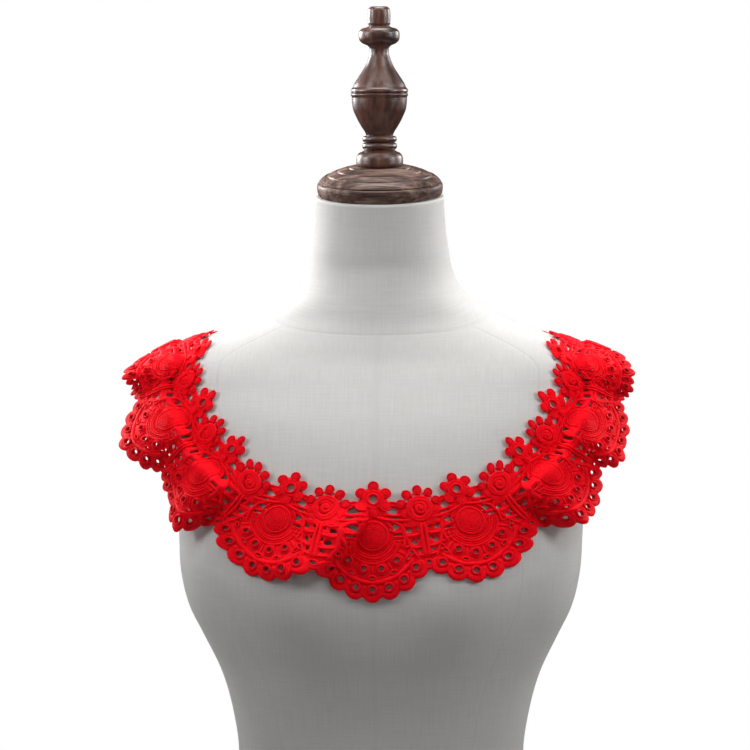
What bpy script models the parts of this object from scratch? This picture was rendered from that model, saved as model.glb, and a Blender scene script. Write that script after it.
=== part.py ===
"""Lace collar on a dress form.

A guipure lace collar of fifteen fan repeats lies round the shoulders of a limbless, linen
covered dress form with a turned wooden neck cap and finial. Blender units are metres, +Z is
up, the form faces -Y, and the origin is the centre of the form's flat underside. Lengths in
the named sizes and tables are millimetres.
"""

import math

import bpy
import numpy as np
from mathutils.geometry import delaunay_2d_cdt

MM = 0.001
SEAM = 0.3  # the gap left between pieces that touch

# The collar's flat cut: a ring of equal cells, each holding one fan
CELLS = 15  # fans in the whole ring
FRONT_CELLS = 9  # fans on the front piece, the rest are on the back piece
NECK_RADIUS = 180.0  # of the flat ring's inner edge
CELL_ANGLE = 0.344  # radians of the flat ring that one cell takes

# The motifs of one cell, measured down from its neck edge
DAISY_Y = 13.5
DAISY_PETAL_RADIUS = 14.4
DAISY_NOTCH_RADIUS = 10.8
DAISY_PETALS = (-60, 0, 60)  # degrees from straight up, of the petals on the neck edge
PETAL_HALF_TIP = 14  # degrees each side of a petal's middle
PETAL_HALF_WIDTH = 30
DAISY_HOLE = 3.0
ROSE_Y = 17.5
ROSE_RADIUS = 9.6
ROSE_PETAL_RADIUS = 15.4
ROSE_NOTCH_RADIUS = 12.2
ROSE_HALF_EDGE = (  # the neck edge round half a rose: degrees from straight down, and radius
    (172, ROSE_PETAL_RADIUS), (158, ROSE_NOTCH_RADIUS), (138, ROSE_PETAL_RADIUS),
    (112, ROSE_PETAL_RADIUS), (92, ROSE_NOTCH_RADIUS),
)
ROSE_RAISED = 0.8 * ROSE_RADIUS
STEM = (32, 45, 57)  # points down the stem between two fans
ROSETTE_Y = 42.0
ROSETTE_RADIUS = 11.0
ROSETTE_TOP = 0.84 * ROSETTE_RADIUS  # the domed top's rim
ROSETTE_FOOT = 1.12 * ROSETTE_RADIUS
BAND_RADIUS = 18.0  # of the plain band round the rosette
BAND_ANGLES = (-30, 0, 30)
INNER_ROW = 26.0  # distance of the inner eyelets from the rosette's centre
INNER_EYELET = 2.3
INNER_ANGLES = (-45, -15, 15, 45)
MID_ROW = 34.2  # the plain ground between the two rows of eyelets
MID_ANGLES = (-72, -36, 0, 36, 72)
OUTER_ROW = 42.5
OUTER_EYELET = 2.5
OUTER_STEP = 18  # degrees between the outer eyelets
OUTER_REACH = 54  # the last one, each side of straight down
LOBE_HALF_TIP = 4.2  # degrees each side of an eyelet, of the flat tip of its lobe
LOBE_RADIUS = 50.0  # how far the scalloped edge reaches from the rosette's centre
NOTCH_RADIUS = 45.6
VALLEY_Y = 72.5  # where two neighbouring fans meet at the edge

# The wall of the lace
WALL = 1.6
EYELET_WALL = 2.1
DAISY_WALL = 2.7
DAISY_DEPTH = 21.0  # how far down the daisies' wall reaches along the outline
RELIEF_WALL = 3.1  # rosettes and roses
CLEAR_OF_FORM = 0.8  # keeps the faceted wall off the faceted form
CLEAR_OF_CUT = 1.5  # keeps a raised point off the cut between the two pieces
SLIVER = 0.01  # flat triangles below half this area lie along a straight edge

# The open bars beside the motifs, on the right half of a cell; the left half mirrors it
GAP_COLUMNS = ("x", "y", "half_length", "half_width", "turn")
GAP_CORNERS = ((-1, -0.7), (0.8, -1), (1, 0.8), (-0.8, 1))  # in half lengths and half widths
GAPS = (
    (13.6, 22.0, 4.2, 2.5, 10),
    (16.2, 34.6, 4.2, 2.1, -38),
    (26.6, 37.2, 2.7, 2.1, -8),
    (31.0, 46.4, 2.7, 2.1, 28),
)

# Level sections of the form's body
BODY_COLUMNS = ("height", "half_width", "front", "back", "squareness")
BODY = (
    (0, 168, 108, 116, 2.4),
    (60, 170, 110, 120, 2.4),
    (120, 153, 102, 112, 2.3),
    (170, 128, 90, 96, 2.2),
    (209, 115, 83, 84, 2.1),
    (258, 119, 88, 86, 2.1),
    (290, 128, 98, 91, 2.2),
    (320, 142, 109, 97, 2.35),
    (341, 152, 114, 101, 2.5),
    (370, 159, 116, 105, 2.6),
    (400, 161, 112, 108, 2.5),
    (430, 163, 107, 108, 2.4),
    (460, 168, 100, 104, 2.4),
    (490, 176, 90, 97, 2.4),
    (515, 184, 79, 88, 2.3),
    (528, 185.5, 73, 83, 2.3),
    (538, 180, 68, 78, 2.3),
    (548, 162, 64, 73, 2.2),
    (559, 132, 60, 68, 2.1),
    (568, 107, 58, 64, 2.0),
    (579, 85, 57, 61, 2.0),
    (592, 67, 56, 58, 2.0),
)
BODY_LEVELS = (  # the heights of the solid's rings
    0, 30, 60, 90, 120, 150, 180, 209, 235, 260, 285, 310, 332, 354, 378, 404, 430,
    455, 478, 498, 514, 525, 533, 540, 546, 553, 560, 567, 575, 584, 592,
)
BUST_FULLNESS = 7.0  # how far the two bust points stand out
BUST_X = 74.0
BUST_HEIGHT = 350.0
BUST_SPREAD = 42.0
FORM_SIDES = 36
SETTLING_STEPS = 12  # of the lace on to the form
SETTLING_RATE = 0.7

# Sections of the neck, which leans forward
NECK_COLUMNS = ("height", "half_width", "half_depth", "lean", "shift")
NECK = (
    (601, 60.5, 54, 2.0, -1),
    (612, 56.5, 52, 4.0, -3),
    (626, 54, 51, 6.0, -6),
    (641, 52, 50, 8.0, -9),
    (656, 51, 49.5, 9.5, -12),
    (667.6, 50.5, 49.5, 10.5, -14),
)

# The turned wood: distance from the axis and height above the piece's underside
CAP_PROFILE = (
    (0, 23.5), (19.4, 23.5), (24.6, 22.9), (28.5, 22), (36.5, 19.1), (41.4, 16.6), (42.2, 15.8),
    (43.2, 16), (46.6, 13.2), (48.9, 9.8), (49.8, 6.6), (49.8, 3.6), (49.2, 1.3), (47.6, 0), (0, 0),
)
FINIAL_PROFILE = (
    (0, 124.4), (6.4, 124.4), (8.4, 122.6), (8.8, 120), (8.8, 110.8), (7.8, 109.4), (9.8, 108.3),
    (13.6, 107.2), (15.6, 105.2), (16.1, 101.6), (15.4, 98), (13.2, 95.8), (9, 93.8), (7.6, 92.2),
    (7.5, 88.5), (9.2, 82.8), (11.2, 78.1), (14, 73.4), (17.1, 68.7), (20, 64), (21.2, 61.2),
    (22.4, 59.8), (22.5, 57.8), (21.6, 57.1), (22.5, 56.2), (22.4, 54.9), (21.8, 54), (21.5, 48.3),
    (20.7, 43.6), (18.7, 38.9), (16.4, 34.2), (13.6, 29.5), (11.6, 26.4), (10.5, 23.6), (12.9, 22.7),
    (13.6, 20.8), (12.8, 18.9), (11.4, 18.2), (13, 17.4), (13.8, 15.3), (12.9, 13.1), (11.8, 12.3),
    (13.6, 11.1), (16.3, 9.9), (18, 7.5), (18.5, 4.4), (18.2, 1.2), (17, 0), (0, 0),
)
FINIAL_LEAN = 4.5  # degrees forward, less than the cap that it stands on
FINIAL_FOOT = 9.9  # its foot is shaped to the cap's slant over this height
TURNED_SIDES = 24

# How the collar hangs on the right, a row for each fold: its place round the ring in cells
# from the centre front, the points (x, y, z) that it takes at three distances down the band,
# and how much further out, back and up the last of them lies on the left
DRAPE_NECK, DRAPE_MID, DRAPE_EDGE = 0.0, 42.0, 80.0
DRAPE = (
    (0.0, 0, -105, 447, 0, -114, 407, 0, -120, 369, 0, 0, 0),
    (0.5, 32, -103, 447, 39, -114, 410, 45, -121, 375, 0, 0, 0),
    (1.0, 58, -99, 453, 75, -111, 420, 92, -115, 388, 0, 0, 0),
    (1.5, 86, -91, 463, 108, -99, 432, 131, -80, 407, 0, 0, 0),
    (1.83, 96, -86, 474, 127, -92, 447, 154, -82, 421, -4, 2, -6),
    (2.2, 106, -80, 485, 140, -81, 460, 166, -58, 436, -6, 4, 0),
    (2.5, 115, -74, 494, 150, -72, 471, 178, -41, 451, -3, 4, -7),
    (2.75, 121, -69, 503, 156, -71, 482, 184, -49, 461, 0, 2, -1),
    (3.0, 125, -64, 513, 161, -64, 492, 186, -38, 476, 8, 0, -2),
    (3.5, 133, -52, 531, 168, -48, 516, 195, -12, 502, 3, 0, 0),
    (3.9, 131, -41, 545, 162, -46, 532, 190, -27, 520, 0, 0, 0),
    (4.2, 130, -26, 554, 163, -34, 542, 193, -22, 531, 4, 0, -4),
    (4.5, 132, -3, 561, 167, -4, 550, 197, 6, 537, 4, 0, -6),
    (5.0, 128, 27, 558, 160, 38, 545, 185, 45, 516, 0, 0, 0),
    (5.5, 112, 55, 549, 141, 67, 525, 162, 79, 492, 0, 0, 0),
    (6.0, 88, 73, 536, 112, 85, 506, 129, 97, 472, 0, 0, 0),
    (6.5, 60, 83, 525, 76, 93, 491, 90, 103, 458, 0, 0, 0),
    (7.0, 31, 88, 518, 39, 100, 481, 46, 109, 446, 0, 0, 0),
    (7.5, 0, 89, 515, 0, 102, 476, 0, 110, 440, 0, 0, 0),
)
SEATED_BAND = 20.0  # the neck edge lies on the form this far down
SEATED_CELLS = 1.2  # and the whole band does on the chest, this far from the centre
SEATED_FADE = 0.5
CHEST_SEATING = 0.8

RED = (0.72, 0.004, 0.012)
LINEN = (0.62, 0.6, 0.57)
WALNUT = (0.075, 0.026, 0.016)


def start_collection(name):
    for old in list(bpy.data.objects):
        bpy.data.objects.remove(old, do_unlink=True)
    made = bpy.data.collections.new(name)
    bpy.context.scene.collection.children.link(made)
    return made


def principled(name, colour, roughness):
    material = bpy.data.materials.new(name)
    material.use_nodes = True
    shader = material.node_tree.nodes["Principled BSDF"]
    shader.inputs["Base Color"].default_value = (*colour, 1)
    shader.inputs["Roughness"].default_value = roughness
    shader.inputs["Metallic"].default_value = 0
    return material


def add_mesh(collection, name, points, faces, material):
    """A named object from points in millimetres."""
    mesh = bpy.data.meshes.new(name)
    mesh.from_pydata([tuple(MM * np.asarray(p, float)) for p in points], [], faces)
    mesh.materials.append(material)
    mesh.shade_smooth()
    made = bpy.data.objects.new(name, mesh)
    collection.objects.link(made)
    return made


def column(table, columns, name):
    return np.array([row[columns.index(name)] for row in table], float)


def smooth_curve(knots, values, at):
    """A cubic curve through the values, with the slopes of the chords beside each knot."""
    slopes = np.gradient(values, knots, axis=0)
    at = np.clip(at, knots[0], knots[-1])
    left = np.clip(np.searchsorted(knots, at, side="right") - 1, 0, len(knots) - 2)
    span = knots[left + 1] - knots[left]
    t = (at - knots[left]) / span
    extra = (None,) * (values.ndim - 1)
    t, span = t[(...,) + extra], span[(...,) + extra]
    return (
        (2 * t**3 - 3 * t**2 + 1) * values[left]
        + (t**3 - 2 * t**2 + t) * span * slopes[left]
        + (3 * t**2 - 2 * t**3) * values[left + 1]
        + (t**3 - t**2) * span * slopes[left + 1]
    )


def body_section(height):
    """Half width, front, back and squareness of the body at each height."""
    knots = column(BODY, BODY_COLUMNS, "height")
    values = np.array([row[1:] for row in BODY], float)
    return smooth_curve(knots, values, np.asarray(height, float)).T


def bust(x, height):
    """How far the front stands out round the two bust points."""
    spread = ((np.abs(x) - BUST_X) ** 2 + (height - BUST_HEIGHT) ** 2) / BUST_SPREAD**2
    return BUST_FULLNESS * np.exp(-spread)


def form_level(points):
    """1 on the body's surface, less inside and more outside."""
    x, y, z = points[..., 0], points[..., 1], points[..., 2]
    half_width, front, back, squareness = body_section(z)
    depth = np.where(y < 0, front + bust(x, z), back)
    total = (np.abs(x) / half_width) ** squareness + (np.abs(y) / depth) ** squareness
    return total ** (1 / squareness)


def clear_of_form(points, seated):
    """Moves points out to the form's surface, and seated ones in to it as well."""
    step = 0.05
    for _ in range(SETTLING_STEPS):
        level = form_level(points)
        slope = np.stack(
            [(form_level(points + step * axis) - level) / step for axis in np.eye(3)], -1
        )
        size = np.linalg.norm(slope, axis=-1)
        height = (level - 1) / size
        lift = np.maximum(CLEAR_OF_FORM - height, 0)
        lift += seated * np.minimum(CLEAR_OF_FORM - height, 0)
        points = points + SETTLING_RATE * (lift / size)[..., None] * slope
    return points


def drape_rows():
    """The rows of both sides round the whole ring, from centre back to centre back."""
    places, points, left_shift = np.split(np.array(DRAPE, float), (1, -3), axis=1)
    right = points.reshape(-1, 3, 3)
    left = right * (-1, 1, 1)
    left[:, 2] += left_shift * (-1, 1, 1)
    return np.concatenate([-places[:0:-1], places])[:, 0], np.concatenate([left[:0:-1], right])


def drape(place, down):
    """Where the lace lies: place counts cells from the centre front, down is from the neck edge."""
    knots, rows = drape_rows()
    ring = knots[-1] - knots[0]
    turns = [knots[:-1] - ring, knots, knots[1:] + ring]
    rows = np.concatenate([rows[:-1], rows, rows[1:]])
    neck, mid, edge = np.moveaxis(smooth_curve(np.concatenate(turns), rows, place), 1, 0)
    a, b, c = DRAPE_NECK, DRAPE_MID, DRAPE_EDGE
    v = down[:, None]
    points = (
        neck * (v - b) * (v - c) / ((a - b) * (a - c))
        + mid * (v - a) * (v - c) / ((b - a) * (b - c))
        + edge * (v - a) * (v - b) / ((c - a) * (c - b))
    )
    near_neck = np.clip((2 * SEATED_BAND - down) / SEATED_BAND, 0, 1)
    on_chest = np.clip((SEATED_CELLS + SEATED_FADE - np.abs(place)) / SEATED_FADE, 0, 1)
    return clear_of_form(points, np.maximum(near_neck, CHEST_SEATING * on_chest))


def on_ring(cell, x, y):
    """A point of a cell's own flat drawing, laid in the flat ring."""
    radius = math.hypot(x, NECK_RADIUS + y)
    angle = cell * CELL_ANGLE + math.atan2(x, NECK_RADIUS + y)
    return radius * math.sin(angle), -radius * math.cos(angle)


def round_point(centre_y, radius, degrees):
    """A point at an angle from straight down the band, round a motif on the cell's axis."""
    turn = math.radians(degrees)
    return radius * math.sin(turn), centre_y + radius * math.cos(turn)


def top_of_cell(cell):
    """The neck edge of a cell: the right half of one rose, the daisy, and half the next rose."""
    points = [
        on_ring(cell - 0.5, *round_point(ROSE_Y, radius, degrees))
        for degrees, radius in ROSE_HALF_EDGE
    ]
    for petal in DAISY_PETALS:
        for degrees, radius in (
            (petal - PETAL_HALF_WIDTH, DAISY_NOTCH_RADIUS),
            (petal - PETAL_HALF_TIP, DAISY_PETAL_RADIUS),
            (petal + PETAL_HALF_TIP, DAISY_PETAL_RADIUS),
        ):
            points.append(on_ring(cell, *round_point(DAISY_Y, radius, 180 - degrees)))
    last_notch = 180 - (DAISY_PETALS[-1] + PETAL_HALF_WIDTH)
    points.append(on_ring(cell, *round_point(DAISY_Y, DAISY_NOTCH_RADIUS, last_notch)))
    points += [
        on_ring(cell + 0.5, *round_point(ROSE_Y, radius, -degrees))
        for degrees, radius in reversed(ROSE_HALF_EDGE)
    ]
    return points


def edge_of_cell(cell):
    """The scalloped outer edge of a cell, from its right end to its left."""
    points = []
    for lobe in range(OUTER_REACH, -OUTER_REACH - 1, -OUTER_STEP):
        for side in (lobe + LOBE_HALF_TIP, lobe - LOBE_HALF_TIP):
            points.append(on_ring(cell, *round_point(ROSETTE_Y, LOBE_RADIUS, side)))
        if lobe > -OUTER_REACH:
            middle = lobe - OUTER_STEP / 2
            points.append(on_ring(cell, *round_point(ROSETTE_Y, NOTCH_RADIUS, middle)))
    points.append(on_ring(cell - 0.5, 0, VALLEY_Y))
    return points


def outline_of(cells):
    """The flat outline of neighbouring cells, cut through the roses at its two ends."""
    inset = SEAM / 2
    first, last = cells[0] - 0.5, cells[-1] + 0.5
    points = [on_ring(first, inset, ROSE_Y - ROSE_PETAL_RADIUS)]
    for cell in cells:
        points += top_of_cell(cell)
    points.append(on_ring(last, -inset, ROSE_Y - ROSE_PETAL_RADIUS))
    points += [on_ring(last, -inset, y) for y in (ROSE_Y, *STEM, VALLEY_Y)]
    for cell in reversed(cells):
        points += edge_of_cell(cell)
    points[-1] = on_ring(first, inset, VALLEY_Y)
    points += [on_ring(first, inset, y) for y in (*reversed(STEM), ROSE_Y)]
    return points


def ring_of(cell, x, y, radius, count):
    """Even points of a circle in a cell."""
    turns = [2 * math.pi * i / count for i in range(count)]
    return [on_ring(cell, x + radius * math.sin(t), y + radius * math.cos(t)) for t in turns]


def holes_of(cell):
    """The cut-through gaps of a cell, each with the wall thickness at its rim."""
    holes = [(ring_of(cell, 0, DAISY_Y, DAISY_HOLE, 7), DAISY_WALL)]
    for degrees in range(-OUTER_REACH, OUTER_REACH + 1, OUTER_STEP):
        x, y = round_point(ROSETTE_Y, OUTER_ROW, degrees)
        holes.append((ring_of(cell, x, y, OUTER_EYELET, 6), EYELET_WALL))
    for degrees in INNER_ANGLES:
        x, y = round_point(ROSETTE_Y, INNER_ROW, degrees)
        holes.append((ring_of(cell, x, y, INNER_EYELET, 6), EYELET_WALL))
    for side in (-1, 1):
        for gap in GAPS:
            row = dict(zip(GAP_COLUMNS, gap))
            x, y, turn = row["x"], row["y"], row["turn"]
            half_length, half_width = row["half_length"], row["half_width"]
            c, s = math.cos(math.radians(turn)), math.sin(math.radians(turn))
            corners = [(a * half_length, b * half_width) for a, b in GAP_CORNERS]
            loop = [
                on_ring(cell, side * (x + a * c - b * s), y + a * s + b * c)
                for a, b in corners
            ]
            holes.append((loop, WALL))
    return holes


def raised_of(cell):
    """Points inside the lace, each with its wall thickness: the domed rosette and the bands."""
    inside = [(on_ring(cell, 0, ROSETTE_Y), RELIEF_WALL)]
    inside += [(p, RELIEF_WALL) for p in ring_of(cell, 0, ROSETTE_Y, ROSETTE_TOP, 8)]
    inside += [(p, WALL) for p in ring_of(cell, 0, ROSETTE_Y, ROSETTE_FOOT, 8)]
    for radius, angles in ((BAND_RADIUS, BAND_ANGLES), (MID_ROW, MID_ANGLES)):
        for degrees in angles:
            inside.append((on_ring(cell, *round_point(ROSETTE_Y, radius, degrees)), WALL))
    return inside


def rose_of(cell, half):
    """A rose between two cells with the stem below it.

    half is -1 or 1 at an end of a piece, where the outline runs down the stem, and 0 for a
    whole rose.
    """
    made = []
    for degrees in range(0, 360, 45):
        x, y = round_point(ROSE_Y, ROSE_RAISED, degrees)
        if half == 0 or half * x > CLEAR_OF_CUT:
            made.append((on_ring(cell, x, y), RELIEF_WALL))
    if half == 0:
        made.append((on_ring(cell, 0, ROSE_Y), RELIEF_WALL))
        made += [(on_ring(cell, 0, y), WALL) for y in STEM]
    return made


def inside_loop(points, loop):
    """Which points lie inside a flat loop."""
    x, y = points[:, 0], points[:, 1]
    found = np.zeros(len(points), bool)
    for (x1, y1), (x2, y2) in zip(loop, loop[1:] + loop[:1]):
        if y1 != y2:
            crosses = (y1 > y) != (y2 > y)
            found ^= crosses & (x < (x2 - x1) * (y - y1) / (y2 - y1) + x1)
    return found


def wall_at_outline(points):
    """The outline's thickness: raised round the daisies and roses, plain along the scallops."""
    down = np.hypot(points[:, 0], points[:, 1]) - NECK_RADIUS
    return np.where(down < DAISY_DEPTH, DAISY_WALL, EYELET_WALL)


def lace_piece(collection, name, cells, material):
    """One stretch of the collar: the flat cut, draped, then thickened outwards."""
    loops = [(outline_of(cells), None)]
    inside = []
    for cell in cells:
        loops += holes_of(cell)
        inside += raised_of(cell)
        if cell > cells[0]:
            inside += rose_of(cell - 0.5, 0)
    inside += rose_of(cells[0] - 0.5, 1) + rose_of(cells[-1] + 0.5, -1)

    flat, walls, edges = [], [], []
    for loop, wall in loops:
        first = len(flat)
        flat += loop
        rim = wall_at_outline(np.array(loop)) if wall is None else [wall] * len(loop)
        walls += list(rim)
        edges += [(first + i, first + (i + 1) % len(loop)) for i in range(len(loop))]
    flat += [point for point, _ in inside]
    walls += [wall for _, wall in inside]

    made, _, triangles, origin, _, _ = delaunay_2d_cdt(flat, edges, [], 0, 1e-4)
    corners = np.array([tuple(p) for p in made])
    triangles = np.array(triangles)
    middle = corners[triangles].mean(axis=1)
    (ax, ay), (bx, by) = np.moveaxis(corners[triangles[:, 1:]] - corners[triangles[:, :1]], 0, -1)
    kept = inside_loop(middle, loops[0][0]) & (np.abs(ax * by - ay * bx) > SLIVER)
    for loop, _ in loops[1:]:
        kept &= ~inside_loop(middle, loop)
    thickness = np.array([walls[source[0]] for source in origin])

    angle = np.arctan2(corners[:, 0], -corners[:, 1])
    angle += 2 * math.pi * np.round((np.mean(cells) * CELL_ANGLE - angle) / (2 * math.pi))
    place = angle / CELL_ANGLE
    down = np.hypot(corners[:, 0], corners[:, 1]) - NECK_RADIUS
    lace = add_mesh(collection, name, drape(place, down), triangles[kept].tolist(), material)

    group = lace.vertex_groups.new(name="relief")
    for index, wall in enumerate(thickness):
        group.add([index], wall / RELIEF_WALL, "REPLACE")
    solidify = lace.modifiers.new("wall", "SOLIDIFY")
    solidify.thickness = RELIEF_WALL * MM
    solidify.offset = 1
    solidify.vertex_group = group.name
    return lace


def loft(collection, name, rings, material):
    """A closed body through level rings of equal count, with flat ends."""
    sides = len(rings[0])
    points = np.concatenate(rings)
    faces = []
    for level in range(len(rings) - 1):
        for i in range(sides):
            a, b = level * sides + i, level * sides + (i + 1) % sides
            faces.append((a, b, b + sides, a + sides))
    faces.append(tuple(range(sides - 1, -1, -1)))
    faces.append(tuple(range(len(points) - sides, len(points))))
    return add_mesh(collection, name, points, faces, material)


def body_ring(height):
    """A section of the body, its points at even turns round the superellipse."""
    half_width, front, back, squareness = body_section(height)
    turn = 2 * math.pi * (np.arange(FORM_SIDES) + 0.5) / FORM_SIDES
    across, deep = np.cos(turn), np.sin(turn)
    x = half_width * np.sign(across) * np.abs(across) ** (2 / squareness)
    depth = np.where(deep < 0, front + bust(x, height), back)
    y = depth * np.sign(deep) * np.abs(deep) ** (2 / squareness)
    return np.stack([x, y, np.full(FORM_SIDES, float(height))], -1)


def neck_ring(row):
    """A section of the neck, an ellipse that leans forward."""
    row = dict(zip(NECK_COLUMNS, row))
    turn = 2 * math.pi * (np.arange(FORM_SIDES) + 0.5) / FORM_SIDES
    x, y = row["half_width"] * np.cos(turn), row["half_depth"] * np.sin(turn)
    tilt = math.radians(row["lean"])
    deep, high = y * math.cos(tilt), y * math.sin(tilt)
    return np.stack([x, row["shift"] + deep, row["height"] + high], -1)


def dress_form(collection, material):
    rings = [body_ring(height) for height in BODY_LEVELS]
    rings += [neck_ring(row) for row in NECK]
    return loft(collection, "dress_form", rings, material)


def turned(collection, name, profile, height, lean, material):
    """A turned piece with its own lean, this far above the neck's top along the neck's axis.

    Its underside is parallel to the neck's top.
    """
    top = dict(zip(NECK_COLUMNS, NECK[-1]))
    neck_tilt, tilt = math.radians(top["lean"]), math.radians(lean)
    base_y = top["shift"] - height * math.sin(neck_tilt)
    base_z = top["height"] + height * math.cos(neck_tilt)
    turn = 2 * math.pi * np.arange(TURNED_SIDES) / TURNED_SIDES
    rings = []
    for radius, up in reversed(profile[1:-1]):
        x, y = radius * np.cos(turn), radius * np.sin(turn)
        slant = y * math.tan(neck_tilt - tilt)
        along = up + slant * max(1 - up / FINIAL_FOOT, 0)
        deep = y * math.cos(tilt) - along * math.sin(tilt)
        high = y * math.sin(tilt) + along * math.cos(tilt)
        rings.append(np.stack([x, base_y + deep, base_z + high], -1))
    return loft(collection, name, rings, material)


def build():
    collection = start_collection("lace_collar_on_form")
    lace = principled("red_guipure", RED, 0.75)
    linen = principled("linen_cover", LINEN, 0.9)
    walnut = principled("dark_walnut", WALNUT, 0.3)

    first = -(FRONT_CELLS // 2)
    front = list(range(first, first + FRONT_CELLS))
    back = list(range(front[-1] + 1, first + CELLS))
    lace_piece(collection, "collar_front", front, lace)
    lace_piece(collection, "collar_back", back, lace)

    dress_form(collection, linen)
    cap_lean = NECK[-1][NECK_COLUMNS.index("lean")]
    finial_base = CAP_PROFILE[0][1] + 2 * SEAM
    turned(collection, "neck_cap", CAP_PROFILE, SEAM, cap_lean, walnut)
    turned(collection, "finial", FINIAL_PROFILE, finial_base, FINIAL_LEAN, walnut)


build()
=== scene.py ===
import math

import bpy
import numpy as np
from mathutils import Matrix, Vector
from mathutils.geometry import delaunay_2d_cdt


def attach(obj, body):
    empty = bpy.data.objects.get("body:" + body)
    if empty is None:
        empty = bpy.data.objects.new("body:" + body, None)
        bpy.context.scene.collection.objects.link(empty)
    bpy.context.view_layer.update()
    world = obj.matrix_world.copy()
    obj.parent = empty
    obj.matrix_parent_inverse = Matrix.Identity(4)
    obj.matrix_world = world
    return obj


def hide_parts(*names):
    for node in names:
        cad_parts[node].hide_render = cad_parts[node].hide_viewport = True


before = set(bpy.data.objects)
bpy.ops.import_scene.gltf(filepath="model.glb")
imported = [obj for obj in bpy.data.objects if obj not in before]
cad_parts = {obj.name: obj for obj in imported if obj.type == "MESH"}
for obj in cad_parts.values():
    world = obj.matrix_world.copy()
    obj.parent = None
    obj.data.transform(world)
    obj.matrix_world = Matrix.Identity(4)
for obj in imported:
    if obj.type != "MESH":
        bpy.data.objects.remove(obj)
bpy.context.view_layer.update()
print("frame loaded with", len(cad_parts), "solids")

mm = 0.001  # the tables below are in millimetres
weld = 0.00001  # points closer than this, in metres, become one

# camera, light and floor
view = {
    "azimuth": 3.3,  # degrees round from straight in front
    "elevation": 2.0,
    "distance": 2.0,
    "aimHeight": 0.525,
    "aimShift": -0.0048,  # to the camera's own right
    "lens": 120.0,
    "sensorWidth": 36,
}

studio = {
    "floorRadius": 0.9,
    "floorCorners": 96,
    "floorColour": (0.62, 0.62, 0.615),
    "floorRoughness": 0.8,
    "floorGap": 0.0005,  # keeps the floor off the form's base
    "backdrop": 1.0,
    "room": (0.02, 0.025, 0.04),  # what the room gives from below, from the sides and from above
    # name: place, what it points at, width, height, watts, spread in degrees
    "lamps": {
        "overhead": ((0.0, 0.0, 2.2), (0, 0, 0.5), 1.1, 0.8, 12.7, 120),
        "leftSide": ((-1.15, -0.4, 1.0), (0, 0, 0.68), 0.3, 0.45, 0.86, 50),
        "rightSide": ((1.15, -0.4, 1.0), (0, 0, 0.63), 0.3, 0.5, 0.78, 54),
        "leftRim": ((-1.0, 0.7, 1.0), (0, 0, 0.68), 0.3, 0.45, 1.5, 50),
        "rightRim": ((1.0, 0.7, 1.0), (0, 0, 0.6), 0.3, 0.45, 0.9, 54),
        "highLeft": ((-0.9, -0.9, 1.8), (0, 0, 0.6), 0.6, 0.6, 0.86, 60),
        "highRight": ((0.9, -0.9, 1.8), (0, 0, 0.6), 0.6, 0.6, 1.15, 60),
        "front": ((0.1, -2.1, 1.25), (0, 0, 0.62), 0.5, 0.5, 0.14, 30),
    },
}


def wireMaths(operation, swapped=False):
    def made(wire, other):
        return wire.bench.maths(operation, *((other, wire) if swapped else (wire, other)))

    return made


class Wire:
    # a socket that can stand in a sum
    def __init__(self, bench, socket):
        self.bench = bench
        self.socket = socket

    def out(self, key):
        return Wire(self.bench, self.socket.node.outputs[key])

    __add__, __radd__ = wireMaths("ADD"), wireMaths("ADD", True)
    __sub__, __rsub__ = wireMaths("SUBTRACT"), wireMaths("SUBTRACT", True)
    __mul__, __rmul__ = wireMaths("MULTIPLY"), wireMaths("MULTIPLY", True)
    __truediv__ = wireMaths("DIVIDE")
    __lt__, __gt__ = wireMaths("LESS_THAN"), wireMaths("GREATER_THAN")


class Bench:
    # puts nodes in one tree
    def __init__(self, tree):
        self.tree = tree

    def node(self, kind, settings=None, sockets=None, out=0):
        made = self.tree.nodes.new(kind)
        for name, value in (settings or {}).items():
            if name == "stops":
                ramp = made.color_ramp
                while len(ramp.elements) < len(value):
                    ramp.elements.new(1.0)
                for element, (place, colour) in zip(ramp.elements, value):
                    element.position = place
                    element.color = (*colour, 1)
            else:
                setattr(made, name, value)
        self.fill(made, sockets or {})
        return Wire(self, made.outputs[out]) if len(made.outputs) else made

    def fill(self, node, sockets):
        for key, value in sockets.items():
            if isinstance(value, Wire):
                self.tree.links.new(value.socket, node.inputs[key])
            else:
                node.inputs[key].default_value = value

    def maths(self, operation, a, b=0.0):
        return self.node("ShaderNodeMath", {"operation": operation}, {0: a, 1: b})

    def vectors(self, operation, a, b):
        return self.node("ShaderNodeVectorMath", {"operation": operation}, {0: a, 1: b})

    def scaled(self, vector, factor):
        sockets = {0: vector, "Scale": factor}
        return self.node("ShaderNodeVectorMath", {"operation": "SCALE"}, sockets)

    def mixed(self, factor, a, b):
        a = (*a, 1) if isinstance(a, tuple) else a
        b = (*b, 1) if isinstance(b, tuple) else b
        return self.node("ShaderNodeMix", {"data_type": "RGBA"}, {0: factor, 6: a, 7: b}, out=2)

    def noise(self, vector, scale, detail, distortion=0.0):
        sockets = {"Vector": vector, "Scale": scale, "Detail": detail, "Distortion": distortion}
        return self.node("ShaderNodeTexNoise", None, sockets)

    def attribute(self, name):
        return self.node("ShaderNodeAttribute", {"attribute_name": name}).out("Fac")

    def clamped(self, value):
        return self.node("ShaderNodeClamp", None, {0: value})

    def parted(self, vector):
        return self.node("ShaderNodeSeparateXYZ", None, {0: vector})


def addObject(name, data):
    made = bpy.data.objects.new(name, data)
    bpy.context.scene.collection.objects.link(made)
    return made


def addAimed(name, data, place, direction):
    # a camera or lamp that looks along a direction
    made = addObject(name, data)
    made.location = place
    made.rotation_mode = "QUATERNION"
    made.rotation_quaternion = direction.to_track_quat("-Z", "Y")
    return made


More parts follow.
